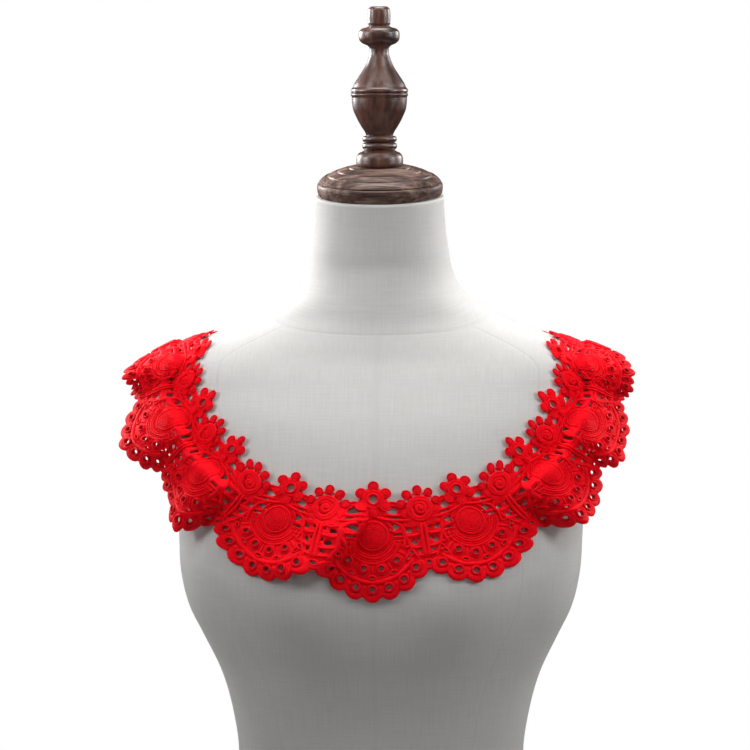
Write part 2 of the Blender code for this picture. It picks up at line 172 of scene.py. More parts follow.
def newMesh(name, points, edges, faces, **attributes):
    mesh = bpy.data.meshes.new(name)
    mesh.from_pydata(points, edges, faces)
    for key, values in attributes.items():
        storeAttribute(mesh, key, values)
    return mesh


def storeAttribute(mesh, name, values, domain="POINT"):
    # floats, or vectors of two or three
    values = np.array(values, np.float32)
    width = values.shape[-1] if values.ndim > 1 else 1
    kind = ("FLOAT", "FLOAT2", "FLOAT_VECTOR")[width - 1]
    key = "value" if width == 1 else "vector"
    mesh.attributes.new(name, kind, domain).data.foreach_set(key, values.ravel())


def newMaterial(name):
    material = bpy.data.materials.new(name)
    material.use_nodes = True
    return material, Bench(material.node_tree), material.node_tree.nodes["Principled BSDF"]


def finishMaterial(bench, shader, look, colour, rough, height):
    normal = bench.node("ShaderNodeBump", None, {**look["bump"], "Height": height})
    bench.fill(shader, {"Base Color": colour, "Roughness": rough, "Normal": normal, **look["finish"]})


def plainMesh(source, name):
    # what the modifiers make of an object, which is then removed
    graph = bpy.context.evaluated_depsgraph_get()
    mesh = bpy.data.meshes.new_from_object(source.evaluated_get(graph))
    bpy.data.objects.remove(source)
    mesh.name = name
    return mesh


def addPiece(name, mesh, node=None):
    piece = addObject(name, mesh)
    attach(piece, "root")
    if node:
        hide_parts(node)
    print(name, "has", len(mesh.polygons), "faces")
    return piece


def around(centre, radius, degrees):
    # a point at an angle from straight down
    turn = math.radians(degrees)
    return centre[0] + radius * math.sin(turn), centre[1] + radius * math.cos(turn)


def arc(centre, radius, first, last, count):
    return [around(centre, radius, d) for d in np.linspace(first, last, count)]


def spoke(centre, radii, degrees):
    return [around(centre, radius, degrees) for radius in radii]


def circle(centre, radius, count):
    return [around(centre, radius, 360 * i / count) for i in range(count)]


def placeCamera():
    a, e = math.radians(view["azimuth"]), math.radians(view["elevation"])
    back = Vector((math.sin(a) * math.cos(e), -math.cos(a) * math.cos(e), math.sin(e)))
    right = Vector((math.cos(a), math.sin(a), 0))
    aim = Vector((0, 0, view["aimHeight"])) + view["aimShift"] * right
    data = bpy.data.cameras.new("camera")
    data.lens, data.sensor_width = view["lens"], view["sensorWidth"]
    bpy.context.scene.camera = addAimed("camera", data, aim + view["distance"] * back, -back)


def lightStudio():
    for name, (place, target, width, height, watts, spread) in studio["lamps"].items():
        data = bpy.data.lights.new(name, "AREA")
        data.shape = "RECTANGLE"
        data.size = width
        data.size_y = height
        data.energy = watts
        data.spread = math.radians(spread)
        lamp = addAimed(name, data, place, Vector(target) - Vector(place))
        lamp.visible_camera = False

    # a white backdrop in view, and a dim room for everything else
    world = bpy.data.worlds.new("paleRoom")
    bpy.context.scene.world = world
    world.use_nodes = True
    world.node_tree.nodes.clear()
    bench = Bench(world.node_tree)
    height = bench.parted(bench.node("ShaderNodeTexCoord").out("Generated")).out("Z")
    stops = [(place, (level,) * 3) for place, level in zip((0.0, 0.5, 1.0), studio["room"])]
    room = bench.node("ShaderNodeValToRGB", {"stops": stops}, {0: height * 0.5 + 0.5})
    seen = bench.node("ShaderNodeLightPath").out("Is Camera Ray")
    colour = bench.mixed(seen, room, (studio["backdrop"],) * 3)
    surface = bench.node("ShaderNodeBackground", None, {"Color": colour, "Strength": 1.0})
    bench.node("ShaderNodeOutputWorld", None, {"Surface": surface})


def layFloor():
    material, bench, shader = newMaterial("paleFloor")
    bench.fill(shader, {"Base Color": (*studio["floorColour"], 1), "Roughness": studio["floorRoughness"]})
    rim = [(*corner, 0) for corner in circle((0, 0), studio["floorRadius"], studio["floorCorners"])]
    mesh = newMesh("floor", rim, [], [tuple(range(len(rim) - 1, -1, -1))])
    mesh.materials.append(material)
    floor = addObject("floor", mesh)
    floor.location.z = -studio["floorGap"]


placeCamera()
lightStudio()
layFloor()
bpy.context.scene.view_settings.view_transform = "Standard"
print("camera, lamps and floor are set")

# the form's shape, which the lace also lies on
form = {
    # level sections: height, half width, front, back, squareness, and where the neck leans also
    # its lean in degrees and its shift
    "sections": (
        (0, 168, 108, 116, 2.4),
        (60, 170, 110, 120, 2.4),
        (120, 153, 102, 112, 2.3),
        (170, 128, 90, 96, 2.2),
        (209, 115, 83, 84, 2.1),
        (258, 119, 88, 86, 2.1),
        (290, 128, 98, 91, 2.2),
        (320, 142, 109, 97, 2.35),
        (341, 152, 114, 101, 2.5),
        (370, 159, 116, 105, 2.6),
        (400, 161, 112, 108, 2.5),
        (430, 163, 107, 108, 2.4),
        (460, 168, 100, 104, 2.4),
        (490, 176, 90, 97, 2.4),
        (515, 184, 79, 88, 2.3),
        (528, 185.5, 73, 83, 2.3),
        (538, 180, 68, 78, 2.3),
        (548, 162, 64, 73, 2.2),
        (559, 132, 60, 68, 2.1),
        (568, 107, 58, 64, 2.0),
        (579, 85, 57, 61, 2.0),
        (592, 67, 56, 58, 2.0, 0.4),
        (601, 60.5, 54.5, 55, 2.0, 2.0, -1),
        (612, 56.5, 52, 52, 2.0, 4.0, -3),
        (626, 54, 51, 51, 2.0, 6.0, -6),
        (641, 52, 50, 50, 2.0, 8.0, -9),
        (656, 51, 49.5, 49.5, 2.0, 9.5, -12),
        (667.6, 50.5, 49.5, 49.5, 2.0, 10.5, -14),
    ),
    "bustFullness": 7.0,
    "bustX": 74.0,
    "bustHeight": 350.0,
    "bustSpread": 42.0,
    "columns": 300,
    "rowStep": 4.2,
    "seamTurns": (-90, -50.5, -129.5, 0, 180, 90, 55, 125),  # degrees round from +X
    "neckSeam": (558.0, 22.0, 8.0),  # height at the front, its rise to the sides, and on to the back
    "neckSeamReach": 46.0,  # how far from the neck seam the rows bend along with it
    "seamHalfWidth": 0.9,
    "seamDepth": 0.16,
    "seamLines": (-2, -1, -0.5, 0, 0.5, 1, 2),  # rows or columns at a seam, in its half widths
    "seamRadius": 150,  # of the body, for how far apart the columns at a seam are
    "closestColumns": 0.0012,  # radians
    "roundedBase": 5.0,
    "baseTuck": 0.012,
    "shoulderRows": (520, 548, 3.0),  # from, to and step
    "rowsBelowSeam": (550, 552.5, 555),
    "rowAboveSeam": 5,
}


def unit(vectors):
    return vectors / np.linalg.norm(vectors, axis=-1)[..., None]


def runLength(points):
    # how far along a path each of its points lies
    return np.concatenate([[0], np.cumsum(np.linalg.norm(np.diff(points, axis=0), axis=1))])


def smoothCurve(knots, values, at):
    # a cubic through the values, with the slopes of the chords beside each knot
    slopes = np.gradient(values, knots, axis=0)
    at = np.clip(at, knots[0], knots[-1])
    left = np.clip(np.searchsorted(knots, at, side="right") - 1, 0, len(knots) - 2)
    span = knots[left + 1] - knots[left]
    t = (at - knots[left]) / span
    extra = (None,) * (values.ndim - 1)
    t, span = t[(...,) + extra], span[(...,) + extra]
    return (
        (2 * t**3 - 3 * t**2 + 1) * values[left]
        + (t**3 - 2 * t**2 + t) * span * slopes[left]
        + (3 * t**2 - 2 * t**3) * values[left + 1]
        + (t**3 - t**2) * span * slopes[left + 1]
    )


def sectionAt(height):
    table = np.array([(*row, 0, 0)[:7] for row in form["sections"]], float)
    return smoothCurve(table[:, 0], table[:, 1:], np.asarray(height, float))


def bust(x, height):
    across = (np.abs(x) - form["bustX"]) ** 2
    up = (height - form["bustHeight"]) ** 2
    return form["bustFullness"] * np.exp(-(across + up) / form["bustSpread"] ** 2)


def formPoint(turn, height):
    # a point of the form's skin, at a turn round from +X
    halfWidth, front, back, squareness, lean, shift = np.moveaxis(sectionAt(height), -1, 0)
    across, deep = np.cos(turn), np.sin(turn)
    x = halfWidth * np.sign(across) * np.abs(across) ** (2 / squareness)
    depth = np.where(deep < 0, front + bust(x, height), back)
    y = depth * np.sign(deep) * np.abs(deep) ** (2 / squareness)
    tilt = np.radians(lean)
    return np.stack([x, shift + y * np.cos(tilt), height + y * np.sin(tilt)], -1)


def formLevel(points):
    # 1 on the form's skin, less inside and more outside
    x, y, z = np.moveaxis(points, -1, 0)
    halfWidth, front, back, squareness, lean, shift = np.moveaxis(sectionAt(z), -1, 0)
    depth = np.where(y < 0, front + bust(x, z), back)
    total = (np.abs(x) / halfWidth) ** squareness + (np.abs(y) / depth) ** squareness
    return total ** (1 / squareness)


# how the lace hangs
collar = {
    "neckRadius": 180.0,  # of the flat ring's inner edge
    "cellAngle": 0.344,  # radians of the flat ring that one fan takes
    "cells": 15,
    "frontCells": 9,
    "clearOfForm": 0.8,
    "seatedBand": 20.0,
    "seatedCells": 1.2,
    "seatedFade": 0.5,
    "chestSeat": 0.8,  # how fully the middle fans lie on the chest
    "settlingSteps": 12,
    "settlingShare": 0.7,
    "slopeStep": 0.05,
    "rest": 0.95,  # the middle of the ground, over the surface that it hangs on
    # place in cells from the centre front, then x y z at the neck, the middle and the edge, and
    # how much further out, back and up the edge lies on the left
    "folds": (
        (0.0, 0, -105, 447, 0, -114, 407, 0, -120, 369, 0, 0, 0),
        (0.5, 32, -103, 447, 39, -114, 410, 45, -121, 375, 0, 0, 0),
        (1.0, 58, -99, 453, 75, -111, 420, 92, -115, 388, 0, 0, 0),
        (1.5, 86, -91, 463, 108, -99, 432, 131, -80, 407, 0, 0, 0),
        (1.83, 96, -86, 474, 127, -92, 447, 154, -82, 421, -4, 2, -6),
        (2.2, 106, -80, 485, 140, -81, 460, 166, -58, 436, -6, 4, 0),
        (2.5, 115, -74, 494, 150, -72, 471, 178, -41, 451, -3, 4, -7),
        (2.75, 121, -69, 503, 156, -71, 482, 184, -49, 461, 0, 2, -1),
        (3.0, 125, -64, 513, 161, -64, 492, 186, -38, 476, 8, 0, -2),
        (3.5, 133, -52, 531, 168, -48, 516, 195, -12, 502, 3, 0, 0),
        (3.9, 131, -41, 545, 162, -46, 532, 190, -27, 520, 0, 0, 0),
        (4.2, 130, -26, 554, 163, -34, 542, 193, -22, 531, 4, 0, -4),
        (4.5, 132, -3, 561, 167, -4, 550, 197, 6, 537, 4, 0, -6),
        (5.0, 128, 27, 558, 160, 38, 545, 185, 45, 516, 0, 0, 0),
        (5.5, 112, 55, 549, 141, 67, 525, 162, 79, 492, 0, 0, 0),
        (6.0, 88, 73, 536, 112, 85, 506, 129, 97, 472, 0, 0, 0),
        (6.5, 60, 83, 525, 76, 93, 491, 90, 103, 458, 0, 0, 0),
        (7.0, 31, 88, 518, 39, 100, 481, 46, 109, 446, 0, 0, 0),
        (7.5, 0, 89, 515, 0, 102, 476, 0, 110, 440, 0, 0, 0),
    ),
    "foldDowns": (0.0, 42.0, 80.0),  # where the neck, middle and edge points lie down the band
    "guideColumns": 30,  # per cell
    "guideMargin": 0.6,
    "guideRows": (-5, 97.6, 2.5),  # from above the petals to below the scallops, and their step
}


def settleOnForm(points, seated):
    # moves points out to the form's skin, and seated ones in to it as well
    step = collar["slopeStep"]
    for _ in range(collar["settlingSteps"]):
        level = formLevel(points)
        slope = [(formLevel(points + step * axis) - level) / step for axis in np.eye(3)]
        slope = np.stack(slope, -1)
        size = np.linalg.norm(slope, axis=-1)
        short = collar["clearOfForm"] - (level - 1) / size
        lift = np.maximum(short, 0) + seated * np.minimum(short, 0)
        points = points + collar["settlingShare"] * (lift / size)[..., None] * slope
    return points


def drape(place, down):
    table = np.array(collar["folds"], float)
    right = table[:, 1:10].reshape(-1, 3, 3)
    left = right * (-1, 1, 1)
    left[:, 2] += table[:, 10:] * (-1, 1, 1)
    knots = np.concatenate([-table[:0:-1, 0], table[:, 0]])
    rows = np.concatenate([left[:0:-1], right])
    ring = collar["cells"]
    knots = np.concatenate([knots[:-1] - ring, knots, knots[1:] + ring])
    rows = np.concatenate([rows[:-1], rows, rows[1:]])
    neck, mid, edge = np.moveaxis(smoothCurve(knots, rows, place), -2, 0)
    a, b, c = collar["foldDowns"]
    v = down[..., None]
    points = (
        neck * (v - b) * (v - c) / ((a - b) * (a - c))
        + mid * (v - a) * (v - c) / ((b - a) * (b - c))
        + edge * (v - a) * (v - b) / ((c - a) * (c - b))
    )
    band, fade = collar["seatedBand"], collar["seatedFade"]
    nearNeck = np.clip((2 * band - down) / band, 0, 1)
    onChest = np.clip((collar["seatedCells"] + fade - np.abs(place)) / fade, 0, 1)
    return settleOnForm(points, np.maximum(nearNeck, collar["chestSeat"] * onChest))


def flatPlace(place, down):
    # where a point of the band lies in the flat cut, in metres
    angle = place * collar["cellAngle"]
    radius = (collar["neckRadius"] + down) * mm
    return np.stack([radius * np.sin(angle), -radius * np.cos(angle), np.zeros_like(angle)], -1)


def gridFaces(rows, columns, closed=False):
    faces = []
    for r in range(rows - 1):
        for c in range(columns if closed else columns - 1):
            d = (c + 1) % columns
            faces.append((r * columns + c, r * columns + d, (r + 1) * columns + d, (r + 1) * columns + c))
    return faces


def makeGuide():
    # the surface that every lace piece is laid on: it knows its flat cut and which way is out, and
    # starts before the front's left end and runs on past the back's
    start = -collar["frontCells"] / 2 - collar["guideMargin"]
    span = collar["cells"] + 2 * collar["guideMargin"]
    places = start + np.arange(int(span * collar["guideColumns"]) + 1) / collar["guideColumns"]
    downs = np.arange(*collar["guideRows"])
    place, down = np.meshgrid(places, downs)
    points = ripple(drape(place, down), place, down)
    out = unit(np.cross(np.gradient(points, axis=0), np.gradient(points, axis=1)))
    corners = (points * mm).reshape(-1, 3).tolist()
    flat = flatPlace(place, down) + (0.5, 0.5, 0)
    mesh = newMesh("guide", corners, [], gridFaces(len(downs), len(places)), flatPlace=flat, outward=out)
    return addObject("guide", mesh)


ripples = {
    "freeFrom": 45,  # how far down the band the waves begin
    "waves": ((0.9, 20, 0.8), (0.6, 44, 0)),  # height, how many round the ring, phase
    "waveLift": 0.9,
    "stillPlace": 1.0,  # the middle fans lie stiller
    "stillFade": 0.6,
    "stillShare": 0.25,
    "crease": (-0.02, 17.0, -0.47, 76.0),  # place and way down where it starts and ends
    "rise": 12.0,
    "sharp": 0.02,
    "fade": 0.36,
    "lip": 6.0,  # how far the crease's crest leans over to the right
    "lipPlace": 0.045,
    "lipWidth": 0.07,
    # how the fold fades in and out along its run, and its lip out: where to and how fast
    "fadeIn": 3,
    "fadeOut": (1.25, 4),
    "lipOut": (1.15, 2.5),
}


def ripple(points, place, down):
    # the free edge is never quite still: short soft waves that die out up the band
    free = np.clip((down - ripples["freeFrom"]) / ripples["freeFrom"], 0, 1) ** 1.5
    still = (np.abs(place) - ripples["stillPlace"]) / ripples["stillFade"]
    away = np.clip(still, ripples["stillShare"], 1)
    turn = 2 * math.pi * place / collar["cells"]
    wave = sum(height * np.sin(count * turn + phase) for height, count, phase in ripples["waves"])
    outward = unit(points * (1, 1, 0))
    points = points + (free * away * (wave + ripples["waveLift"]))[..., None] * outward
    # a crease runs down to the left from the centre daisy, and the cloth left of it stands higher
    startPlace, startDown, endPlace, endDown = ripples["crease"]
    along = (down - startDown) / (endDown - startDown)
    past = startPlace + (endPlace - startPlace) * along - place
    (end, pace), (lipEnd, lipPace) = ripples["fadeOut"], ripples["lipOut"]
    within = np.clip(along * ripples["fadeIn"], 0, 1) * np.clip((end - along) * pace, 0, 1)
    rise = np.exp(-np.clip(past / ripples["fade"], 0, None) ** 2) / (1 + np.exp(-past / ripples["sharp"]))
    lip = np.exp(-(((past - ripples["lipPlace"]) / ripples["lipWidth"]) ** 2))
    lip *= np.clip((lipEnd - along) * lipPace, 0, 1)
    points = points + (ripples["rise"] * within * rise)[..., None] * outward
    return points + (ripples["lip"] * within * lip)[..., None] * (1, 0, 0)


guide = makeGuide()
print("the lace's surface is laid out:", len(guide.data.vertices), "points")

# the lace's drawing: x across a cell, y down from the neck edge
lace = {
    "depth": 93,  # of the cut, from the petals' tips to the scallops'
    "middleDown": 45,  # where the cut's length is measured
    "under": 0.55,  # a cord's underside is this much flatter than its top
    "daisyY": 13.5,
    "daisyHole": 3.0,
    "daisyPetals": 6,
    "roseY": 22.0,
    "rosePetals": (-70, -35, 0, 35, 70),  # degrees from straight up
    "roseDots": (-52, -17, 17, 52),
    "dotRow": 11.5,
    "roseSepals": (-76, -46, -16, 16, 46, 76),  # degrees from straight down
    "rosetteY": 42.0,
    # radius and lift
    "rosetteRings": (
        (10.9, 0.1), (8.9, 0.1), (7.3, 0.4), (5.7, 0.55), (4.1, 0.7), (2.6, 0.8), (1.1, 0.9),
    ),
    # painted shade on the rosette's rings, standing in for shadow between the coils
    "rosettePaintedShade": 0.3,
    # painted shade round the eyelet holes, so that they look deep and dark
    "eyeletPaintedShade": 0.6,
    # radius, half width and reach
    "bands": ((15.0, 0.7, 78), (16.9, 1.0, 80), (18.9, 0.7, 84), (20.8, 1.0, 86)),
    "innerRow": 25.4,
    "innerAngles": (-45, -15, 15, 45),
    "innerHole": 1.7,
    "slotRow": 31.3,
    "slotAngles": (-60, -30, 0, 30, 60),
    "slotSize": (1.9, 0.7),
    "outerRow": 40.3,
    "outerAngles": (-54, -36, -18, 0, 18, 36, 54),
    "outerHole": 2.15,
    "lobeRow": 42.6,
    "lobeRadius": 7.4,
    "valleyY": 65.4,  # of the eyelet where two fans meet at the edge
    "valleyHole": 1.5,
    "groundThickness": 1.3,
    "groundOffset": 0.75,  # most of it lies under the cords
    "groundStep": 2.4,
    "groundRow": 0.87,  # from row to row, in steps
    "groundReach": (46, 92),  # to each side and down
    "groundClear": (0.6, 0.45),  # from the outline and from an opening, in steps
    # painted shade on the ground, which lies under and between the cords
    "groundPaintedShade": 0.2,
    # painted shade at the tips of the upward petals
    "petalTipPaintedShade": 1.5,
    # open places beside the motifs on a fan's right half: x, y, half length, half width, turn
    "gaps": (
        (13.6, 22.0, 4.2, 2.4, 10),
        (16.2, 34.6, 4.2, 2.0, -38),
        (26.6, 37.2, 2.2, 1.6, -8),
        (31.0, 46.4, 2.1, 1.6, 28),
        (16.6, 27.7, 2.4, 0.65, 2),
        (18.6, 40.9, 3.0, 0.8, -4),
        (18.9, 44.1, 3.0, 0.8, 0),
        (19.0, 47.3, 2.8, 0.8, 4),
        (25.6, 30.6, 1.5, 0.9, -20),
        (29.0, 54.0, 1.5, 1.3, 0),
    ),
    # and along the right half of a leaf
    "leafGaps": (
        (4.3, 37.4, 1.0, 1.4, 0),
        (4.4, 46.4, 1.1, 1.3, 0),
        (5.0, 55.4, 1.3, 1.4, 0),
    ),
}
daisy, rose, rosette, valley = ((0, lace[key]) for key in ("daisyY", "roseY", "rosetteY", "valleyY"))


def flatCorner(x, y):
    # a drawing's point on the flat cut, in metres
    return x * mm, -(collar["neckRadius"] + y) * mm, 0


class CordDrawing:
    # the cords of one motif, with a half width, rise, lift and painted shade at every point of a path
    def __init__(self, name, sides):
        self.name = name
        self.sides = sides  # round a cord
        self.points, self.edges = [], []
        self.sizes = {"cordWidth": [], "cordRise": [], "cordLift": [], "shade": []}

    def cord(self, path, width, rise, lift=0.0, shade=0.0, closed=False):
        # shade is painted shade, and 1 is the deepest red
        first, count = len(self.points), len(path)
        self.points += [flatCorner(x, y) for x, y in path]
        self.edges += [(first + i, first + i + 1) for i in range(count - 1)]
        if closed:
            self.edges.append((first + count - 1, first))
        values = (width, rise, lift, shade)
        for sizes, value, unit in zip(self.sizes.values(), values, (mm, mm, mm, 1)):
            sizes += list(np.broadcast_to(np.asarray(value, float) * unit, count))

    def ring(self, centre, radius, width, rise, lift=0.0, count=20, shade=0.0):
        self.cord(circle(centre, radius, count), width, rise, lift, shade, closed=True)

    def pad(self, start, end, width, rise, lift=0.0, count=7, shade=0.0):
        # a rounded pad between two points
        s = np.cos(np.linspace(math.pi, 0, count))
        path = [tuple(0.5 * ((1 - t) * np.array(start) + (1 + t) * np.array(end))) for t in s]
        swell = np.maximum(np.sqrt(1 - s**2), 0.06)
        self.cord(path, width * swell, rise * swell, lift, shade)

    def bar(self, path, width, rise, lift=0.0, taper=0.45):
        # a stitched bar that narrows at both ends
        swell = np.ones(len(path))
        swell[0] = swell[-1] = taper
        self.cord(path, width * swell, rise * swell, lift)

    def mesh(self):
        return newMesh(self.name, self.points, self.edges, [], **self.sizes)


def softPath(points, count, side=1):
    # a smooth path through a few points, on the right or mirrored to the left
    points = np.array(points, float) * (side, 1)
    run = runLength(points)
    return [tuple(p) for p in smoothCurve(run, points, np.linspace(0, run[-1], count))]


def oval(centre, length, width, turn, count, square=1.0):
    # a loop that is longer along its turn, and squarer below 1
    c, s = math.cos(math.radians(turn)), math.sin(math.radians(turn))
    loop = []
    for i in range(count):
        t = 2 * math.pi * (i + 0.5) / count
        a = length * math.copysign(abs(math.cos(t)) ** square, math.cos(t))
        b = width * math.copysign(abs(math.sin(t)) ** square, math.sin(t))
        loop.append((centre[0] + a * c - b * s, centre[1] + a * s + b * c))
    return loop


def drawPetal(drawing, centre, direction, near, far, width, lift=0.3, tip=0.0):
    # a padded petal, with painted shade that deepens its red towards the tip, and a fine raised rim
    shade = tip * np.linspace(-0.2, 1, 9) ** 2
    drawing.pad(*spoke(centre, (near, far), direction), width, 1.0, lift, 9, shade)
    middle = around(centre, 0.5 * (near + far), direction)
    rim = oval(middle, 0.5 * (far - near) - 0.6, width - 0.6, 90 - direction, 14)
    drawing.cord(rim, 0.7, 0.7, lift + 0.2, 0.6 * tip, closed=True)


def drawDaisies():
    drawing = CordDrawing("daisyCords", 10)
    for i in range(lace["daisyPetals"]):
        direction = 180 + 360 / lace["daisyPetals"] * i
        # the upward petals get painted shade at their tips
        tip = -lace["petalTipPaintedShade"] * math.cos(math.radians(direction))
        drawPetal(drawing, daisy, direction, 6.4, 14.5, 4.15, tip=max(tip, 0))
    drawing.ring(daisy, 6.6, 2.2, 1.05, 0.2, count=24)
    drawing.ring(daisy, lace["daisyHole"] + 1.2, 1.15, 1.3, 0.6)
    for x in (-1.3, 1.3):
        drawing.bar([(0.8 * x, 20.5), (x, 23.5), (1.3 * x, 28.5)], 1.3, 1.3, 0.1)
    return drawing


def drawRosettes():
    drawing = CordDrawing("rosetteCords", 10)
    for number, (radius, lift) in enumerate(lace["rosetteRings"]):
        # painted shade: alternate rings go deeper red, like shadow in the grooves between the coils, and
        # the shade comes and goes in blocks round each ring
        count = 12 + int(2.2 * radius)
        blocks = np.sin(2 * math.pi * (3 + number % 3) * np.arange(count) / count + 2.1 * number)
        shade = lace["rosettePaintedShade"] * (0.5 + 0.3 * (number % 2) + 0.5 * blocks).clip(0, 1)
        drawing.ring(rosette, radius, 1.15, 1.2, lift, count, shade)
    for angle in range(-84, 85, 6):
        drawing.bar(spoke(rosette, (12.9, 16.0, 19.0, 22.0), angle), 0.55, 0.75)
    for radius, width, reach in lace["bands"]:
        path = arc(rosette, radius, -reach, reach, 12 + int(1.6 * radius))
        drawing.bar(path, width, 0.35 + 0.6 * width)
    return drawing


def drawEyelets():
    drawing = CordDrawing("eyeletCords", 8)
    for angle in lace["innerAngles"]:
        middle = around(rosette, lace["innerRow"], angle)
        drawing.ring(middle, lace["innerHole"] + 2.4, 0.8, 0.95, count=20)
        # the ring round the hole carries painted shade, so the hole looks deep and dark
        drawing.ring(middle, lace["innerHole"] + 0.9, 1.0, 1.15, 0.6, 16, lace["eyeletPaintedShade"])
    length, width = lace["slotSize"]
    for angle in lace["slotAngles"]:
        middle = around(rosette, lace["slotRow"], angle)
        drawing.cord(oval(middle, length + 0.7, width + 0.7, -angle, 14), 0.75, 0.9, 0.1, closed=True)
    for angle in (-30, 0, 30):
        drawing.bar(spoke(rosette, (21.6, 24.0, 27.0, 29.4), angle), 1.1, 0.95)
    for angle in (-60, 60):
        drawing.bar(spoke(rosette, (21.6, 24.0, 26.0, 29.0), angle), 1.5, 0.9)
    drawing.bar(arc(rosette, 35.0, -62, 62, 44), 1.9, 1.15)
    for side in (-1, 1):
        for x, y, length, width, turn in lace["gaps"][-2:]:
            loop = oval((side * x, y), length + 0.7, width + 0.7, side * turn, 14)
            drawing.cord(loop, 0.8, 0.95, closed=True)
    return drawing


def drawScallops():
    # the edge: a broad satin crescent and a fine rim round each outer eyelet
    drawing = CordDrawing("scallopCords", 10)
    hole, offset = lace["outerHole"], lace["lobeRow"] - lace["outerRow"]
    sweep = np.linspace(-122, 122, 19)
    turn = np.radians(sweep)
    outer = offset * np.cos(turn) + np.sqrt(lace["lobeRadius"] ** 2 - (offset * np.sin(turn)) ** 2)
    width = 0.5 * (outer - hole - 1.5)
    for angle in lace["outerAngles"]:
        middle = around(rosette, lace["outerRow"], angle)
        path = [around(middle, r, angle + d) for r, d in zip(outer - width, sweep)]
        drawing.bar(path, width, 0.65 + 0.16 * width, taper=0.6)
        # the ring round the hole carries painted shade, so the hole looks deep and dark
        drawing.ring(middle, hole + 0.95, 1.1, 1.2, 0.55, 18, lace["eyeletPaintedShade"])
    for angle in (-45, -27, -9, 9, 27, 45):
        drawing.pad(*spoke(rosette, (37.2, 41.8), angle), 1.4, 1.15, 0.1)
    return drawing


def drawBars():
    # what ties the daisies, rosettes and roses together
    drawing = CordDrawing("barCords", 8)
    ladder = [gap[1] for gap in lace["gaps"][5:8]]
    for side in (-1, 1):
        for points, count, width, rise in (
            ([(10.3, 15.8), (14.5, 15.3), (19.5, 15.8)], 7, 0.6, 0.65),
            ([(10.6, 18.2), (14.5, 17.9), (19.0, 18.3)], 7, 0.6, 0.65),
            ([(8.0, 25.6), (13.8, 25.8), (21.0, 25.4)], 9, 0.85, 0.95),
            ([(1.5, 27.2), (8.0, 28.9), (14.0, 29.6), (21.5, 29.4), (28.0, 28.6)], 18, 1.2, 1.2),
            ([(13.5, 30.5), (20.2, 33.0), (23.6, 38.5), (23.9, 45.0), (22.8, 51.0)], 20, 1.25, 1.2),
            ([(9.6, 30.2), (12.4, 33.4), (14.8, 37.6)], 8, 1.0, 1.05),
            ([(12.2, 37.6), (16.5, 38.6), (22.8, 38.2)], 8, 1.0, 0.95),
            ([(22.0, 33.2), (27.0, 34.0), (32.0, 33.2)], 8, 0.95, 1.0),
            ([(23.8, 40.8), (28.0, 41.2), (32.5, 40.3)], 8, 1.0, 1.0),
            ([(23.4, 50.6), (27.5, 49.6), (33.0, 51.0)], 9, 1.1, 1.05),
        ):
            drawing.bar(softPath(points, count, side), width, rise)
        for y in (*(y - 1.6 for y in ladder), ladder[-1] + 1.6):
            drawing.bar(softPath([(15.0, y), (19.0, y - 0.2), (22.8, y)], 5, side), 0.75, 0.85)
    return drawing


def drawRoses():
    drawing = CordDrawing("roseCords", 10)
    for direction in lace["rosePetals"]:
        far = 19.6 - 0.016 * abs(direction)
        # the rose's upper petals get painted shade at their tips
        drawPetal(drawing, rose, 180 + direction, 11.4, far, 3.75, 0.1, lace["petalTipPaintedShade"])
    for direction in lace["roseSepals"]:
        drawPetal(drawing, rose, direction, 8.6, 15.4, 3.9, 0.1)
    for direction in lace["roseDots"]:
        drawing.ring(around(rose, lace["dotRow"], 180 + direction), 1.9, 0.6, 0.8, 0.2, count=12)
    drawing.ring(rose, 9.5, 1.35, 1.2, 0.5, count=26)
    for first in (20, 140, 260):
        # the rose's own petals overlap, each starting inside the one before
        sweep = np.linspace(0, 165, 18)
        path = [around(rose, 6.3 + 1.5 * math.sin(math.radians(1.09 * d)), first + d) for d in sweep]
        drawing.bar(path, 2.1, 1.05, 0.8)
    turns = np.linspace(0, 1.6, 34)
    radius = 0.9 + 4.4 * turns / turns[-1]
    spiral = [around(rose, r, 360 * t + 30) for r, t in zip(radius, turns)]
    drawing.bar(spiral, 1.7, 0.95, 1.4 - 0.1 * radius)
    drawing.ring(rose, 0.7, 1.3, 0.9, 1.2, count=10)
    return drawing


def drawLeaves():
    # the padded stem between two fans, with the veins and the outline of a leaf
    drawing = CordDrawing("leafCords", 8)
    for side in (-1, 1):
        stem = [(1.2, 33.0), (1.7, 42.0), (1.9, 50.0), (1.5, 57.0), (0.9, 61.4)]
        drawing.bar(softPath(stem, 20, side), 1.5, 1.55, 0.15)
        for vein in (
            [(2.2, 36.0), (6.5, 34.2), (14.5, 34.0)],
            [(2.4, 42.2), (7.0, 42.8), (13.5, 43.4)],
            [(2.6, 52.6), (6.0, 52.8), (11.6, 51.6)],
            [(2.2, 59.6), (4.6, 59.2), (7.6, 58.6)],
        ):
            drawing.bar(softPath(vein, 8, side), 1.1, 1.05)
        outline = [(14.8, 33.6), (15.6, 38.5), (13.4, 44.0), (12.2, 50.0), (8.9, 57.0), (6.2, 62.0)]
        drawing.bar(softPath(outline, 26, side), 1.1, 1.15)
    # the small eyelet and crescent at the edge
    drawing.ring(valley, lace["valleyHole"] + 0.7, 0.75, 0.85, 0.4, count=16)
    drawing.bar(arc(valley, 4.1, -104, 104, 17), 1.75, 1.1)
    return drawing


